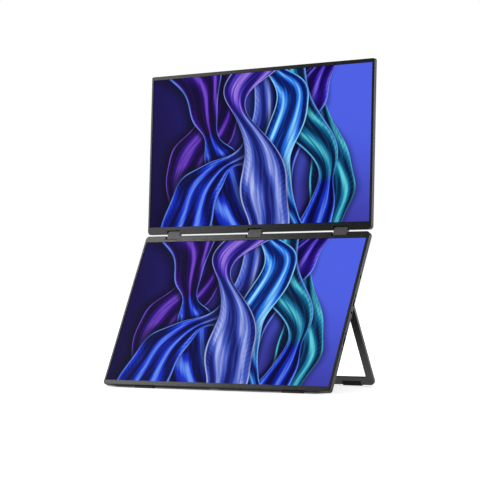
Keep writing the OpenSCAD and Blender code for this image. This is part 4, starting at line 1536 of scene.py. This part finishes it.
@dataclass(frozen=True)
class Speakers:
    """The speakers and their slotted grilles in the bottom edge, each lined with a cloth.

    Attributes:
        place: Local frame of the lower display.
        grille: The grilles' node.
        edge_radius: Radius of the slots' edges in millimetres.
        cloth: Thickness of the cloth in millimetres.
        cloth_radius: Radius of the cloth's edges.
        inset: Gap between the cloth and the outline of its grille.
    """

    place: Place
    grille: str = "speaker_grilles"
    edge_radius: float = 0.12
    cloth: float = 0.4
    cloth_radius: float = 0.05
    inset: float = 0.1

    def line(self) -> None:
        """Sets a cloth behind the slots of each grille, within the grille's depth."""
        boxes = [Outline.of(solid) for solid in shells(self.grille, self.place)]
        depth = (self.cloth + self.inset) / 2
        middles = [self.place.point(box.middle().x, box.high.y - depth, box.middle().z) for box in boxes]
        size = boxes[0].high - boxes[0].low
        unit = block("cloth", (size.x - 2 * self.inset, self.cloth, size.z - 2 * self.inset),
                     self.cloth_radius)
        repeats = Repeats("grille_cloth", body_of(self.grille), self.place.tilt)
        repeats.build(unit, middles, CLOTH, self.place)

    def build(self) -> None:
        """Builds the grilles and dresses the speakers."""
        Rounded(self.grille, self.edge_radius).build(MATT_BLACK, self.place)
        self.line()
        dress_nodes(PLASTIC, self.place, "speakers")


@dataclass(frozen=True)
class Stand:
    """The fold-out stand with its pivots, brackets and pads, and the feet of the lower display.

    Attributes:
        panel: Local frame of the lower display.
        edge_radius: Radius of the stand's edges in millimetres.
        pad_radius: Radius of the edges of the pads and the feet.
    """

    panel: Place
    edge_radius: float = 0.4
    pad_radius: float = 0.5

    def place(self) -> Place:
        """Finds the local frame of the stand.

        Returns:
            The frame, with its origin on the stand's pivot and Y up its legs.
        """
        joint = next(j for j in frame["joints"] if j["name"] == "stand_fold")
        pivot = Vector(joint["pos_m"])
        low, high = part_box("stand_frame")
        return Place.along(pivot, pivot - Vector((0, high.y, low.z)))

    def build(self) -> None:
        """Rounds and dresses the stand's pieces."""
        place = self.place()
        Rounded("stand_frame", self.edge_radius).build(STAND, place)
        Rounded("stand_pads", self.pad_radius).build(RUBBER, place)
        Rounded("front_feet", self.pad_radius).build(FOOT, self.panel)
        dress_nodes(STEEL, place, "stand_pivot_shafts")
        dress_nodes(STEEL, self.panel, "stand_brackets")
        ScrewSet("stand_bracket_screws").build(STEEL, self.panel)


@dataclass(frozen=True)
class HingeBlocks:
    """The three hinge blocks between the displays and the cable through the middle one."""

    edge_radius: float = 0.35
    sides: tuple[str, ...] = ("left", "middle", "right")

    def build(self) -> None:
        """Rounds and dresses the blocks."""
        lower, upper = (Vector(j["pos_m"]) for j in frame["joints"][:2])
        place = Place.along((lower + upper) / 2, upper - lower)
        for side in self.sides:
            Rounded(f"{side}_hinge_block", self.edge_radius).build(HINGE, place)
        dress_nodes(PLASTIC, place, "hinge_display_cable")


@dataclass(frozen=True)
class Softbox:
    """One large soft light.

    Attributes:
        name: Its name.
        where: Its place in metres.
        aim: The point that it faces.
        size: Its width and height in metres.
        power: Its power in watts.
    """

    name: str
    where: Point
    aim: Point
    size: tuple[float, float]
    power: float

    def build(self) -> None:
        """Adds the light."""
        data = bpy.data.lights.new(self.name, "AREA")
        data.shape = "RECTANGLE"
        data.size, data.size_y = self.size
        data.energy = self.power
        light = in_scene(self.name, data)
        light.location = self.where
        light.rotation_euler = (Vector(self.aim) - light.location).to_track_quat("-Z", "Y").to_euler()
        light.visible_camera = False


@dataclass(frozen=True)
class PaintedShadow:
    """Painted shadow under the lower display: a darker patch of the floor's glow, which fades out at its
    four edges, in millimetres.

    Attributes:
        front: Front edge, measured from the origin.
        back: Back edge.
        side: Left edge, and right edge but for the overrun.
        overrun: How much further the right edge lies.
        left_fade: Width of the fade at the left edge.
        right_fade: Width of the fade at the right edge.
        front_fade: Width of the fade at the front edge.
        back_fade: Width of the fade at the back edge.
        tone: Colour of the painted shadow.
    """

    front: float = -64.0
    back: float = 20.0
    side: float = 176.0
    overrun: float = 1.0
    left_fade: float = 16.0
    right_fade: float = 22.0
    front_fade: float = 5.0
    back_fade: float = 50.0
    tone: Colour = grey(30)

    def mask(self, shader: Shader, sight: float) -> Wire:
        """Mask that is 1 in the painted shadow.

        Args:
            shader: The floor's tree.
            sight: Sideways run of the right edge for each millimetre back.

        Returns:
            The mask.
        """
        end = self.side + self.overrun
        left = shader.x.ramp(-self.side, -self.side + self.left_fade)
        right = (shader.x + (shader.y - self.front) * sight).ramp(end - self.right_fade, end, 1.0, 0.0)
        front = shader.y.ramp(self.front, self.front + self.front_fade)
        back = shader.y.ramp(self.back - self.back_fade, self.back, 1.0, 0.0)
        return left * right * front * back


@dataclass(frozen=True)
class Studio:
    """Plain pale floor, soft lights and the camera.

    Attributes:
        azimuth: Camera's angle round the object from the front, in degrees.
        elevation: Its height angle.
        roll: Its turn about its own line of sight.
        target: The point that it looks at, in metres.
        distance: Distance from that point, in metres.
        focal_length: Lens in millimetres.
        sensor: Width of the sensor in millimetres.
        clip: Nearest and furthest distance that the camera sees, in metres.
        floor_size: Width of the floor in metres.
        floor_drop: How far the floor lies below the feet, in metres.
        glow_end: Where the floor's glow reaches white, in millimetres from the origin.
        shade: The painted shadow under the lower display.
        softboxes: The lights.
        dim: Strength of the surroundings as a light.
    """

    azimuth: float = 37.3123
    elevation: float = 0.1402
    roll: float = -1.4434
    target: Point = (0.06109, -0.07812, 0.18283)
    distance: float = 2.3901
    focal_length: float = 149.948
    sensor: float = 36.0
    clip: tuple[float, float] = (0.05, 100.0)
    floor_size: float = 30.0
    floor_drop: float = 0.00005
    glow_end: float = 500.0
    shade: PaintedShadow = PaintedShadow()
    softboxes: tuple[Softbox, ...] = (
        Softbox("high_key_light", (-1.8, -1.1, 1.78), (0.0, 0.0, 0.15), (0.86, 0.15), 6.6),
        Softbox("low_key_light", (-0.83, -0.43, 0.46), (0.0, 0.0, 0.15), (0.75, 0.33), 4.5),
        Softbox("top_light", (0.0, 0.5, 2.2), (0.0, 0.2, 0.0), (2.4, 2.0), 22.0),
        Softbox("side_light", (1.3, 1.5, 0.5), (0.1, 0.0, 0.2), (0.9, 1.2), 12.0))
    dim: float = 0.06

    def camera(self) -> None:
        """Adds the camera."""
        turn, rise, roll = (math.radians(a) for a in (self.azimuth, self.elevation, self.roll))
        back = Vector((math.sin(turn) * math.cos(rise), -math.cos(turn) * math.cos(rise), math.sin(rise)))
        right = (-back).cross(Vector((0, 0, 1))).normalized()
        up = right.cross(-back)
        right, up = (right * math.cos(roll) + up * math.sin(roll),
                     up * math.cos(roll) - right * math.sin(roll))
        data = bpy.data.cameras.new("camera")
        data.lens = self.focal_length
        data.sensor_width = self.sensor
        data.clip_start, data.clip_end = self.clip
        camera = in_scene("camera", data)
        camera.matrix_world = Matrix((right, up, back)).transposed().to_4x4()
        camera.location = Vector(self.target) + back * self.distance
        bpy.context.scene.camera = camera

    def floor(self) -> None:
        """Adds the floor, pale but for the painted shadow under the lower display."""
        half = self.floor_size / 2
        mesh = bpy.data.meshes.new("floor")
        corners = [(-half, -half, 0), (half, -half, 0), (half, half, 0), (-half, half, 0)]
        mesh.from_pydata(corners, [], [(0, 1, 2, 3)])
        floor = in_scene("floor", mesh)
        floor.location.z = -self.floor_drop
        shader = Shader("floor", Place(Vector()))
        apart = (shader.x * shader.x + shader.y * shader.y) ** 0.5
        glow = shader.mix(apart.ramp(0.0, self.glow_end), grey(200), grey(255))
        # Painted shadow: the floor's glow turns to the shadow tone under the lower display.
        shade = self.shade.mask(shader, math.tan(math.radians(self.azimuth)))
        shader.set(Base_Color=grey(235), Roughness=0.9, Specular_IOR_Level=0.1,
                   Emission_Color=shader.mix(shade, glow, self.shade.tone), Emission_Strength=1.0)
        mesh.materials.append(shader.material)

    def world(self) -> None:
        """Adds the surroundings: a plain white ground for the camera, a dim grey for the light."""
        world = bpy.data.worlds.new("studio")
        world.use_nodes = True
        graph = Graph(world.node_tree)
        for node in list(world.node_tree.nodes):
            world.node_tree.nodes.remove(node)
        seen = graph.wire("ShaderNodeLightPath", output="Is Camera Ray")
        dim, white = (graph.wire("ShaderNodeBackground", None, {"Color": grey(255), "Strength": strength})
                      for strength in (self.dim, 1.0))
        both = graph.wire("ShaderNodeMixShader", None, {0: seen, 1: dim, 2: white})
        graph.node("ShaderNodeOutputWorld", None, {"Surface": both})
        bpy.context.scene.world = world

    def build(self) -> None:
        """Builds the studio."""
        self.camera()
        self.floor()
        for softbox in self.softboxes:
            softbox.build()
        self.world()
        bpy.context.scene.view_settings.view_transform = "Standard"
        LOG.info("studio: camera at %.1f degrees", self.azimuth)


def main() -> None:
    """Builds the pieces in order."""
    logging.basicConfig(level=logging.INFO, format="%(name)s: %(message)s")
    Studio().build()
    lower = Display("lower", Side.TOP, bezel_matt=1.9)
    upper = Display("upper", Side.BOTTOM, bezel_matt=0.8)
    lower.build()
    upper.build()
    HingeBlocks().build()
    Boards(lower.place, upper.place).build()
    RightSide(lower.place).build()
    Speakers(lower.place).build()
    Stand(lower.place).build()


if __name__ == "__main__":
    main()
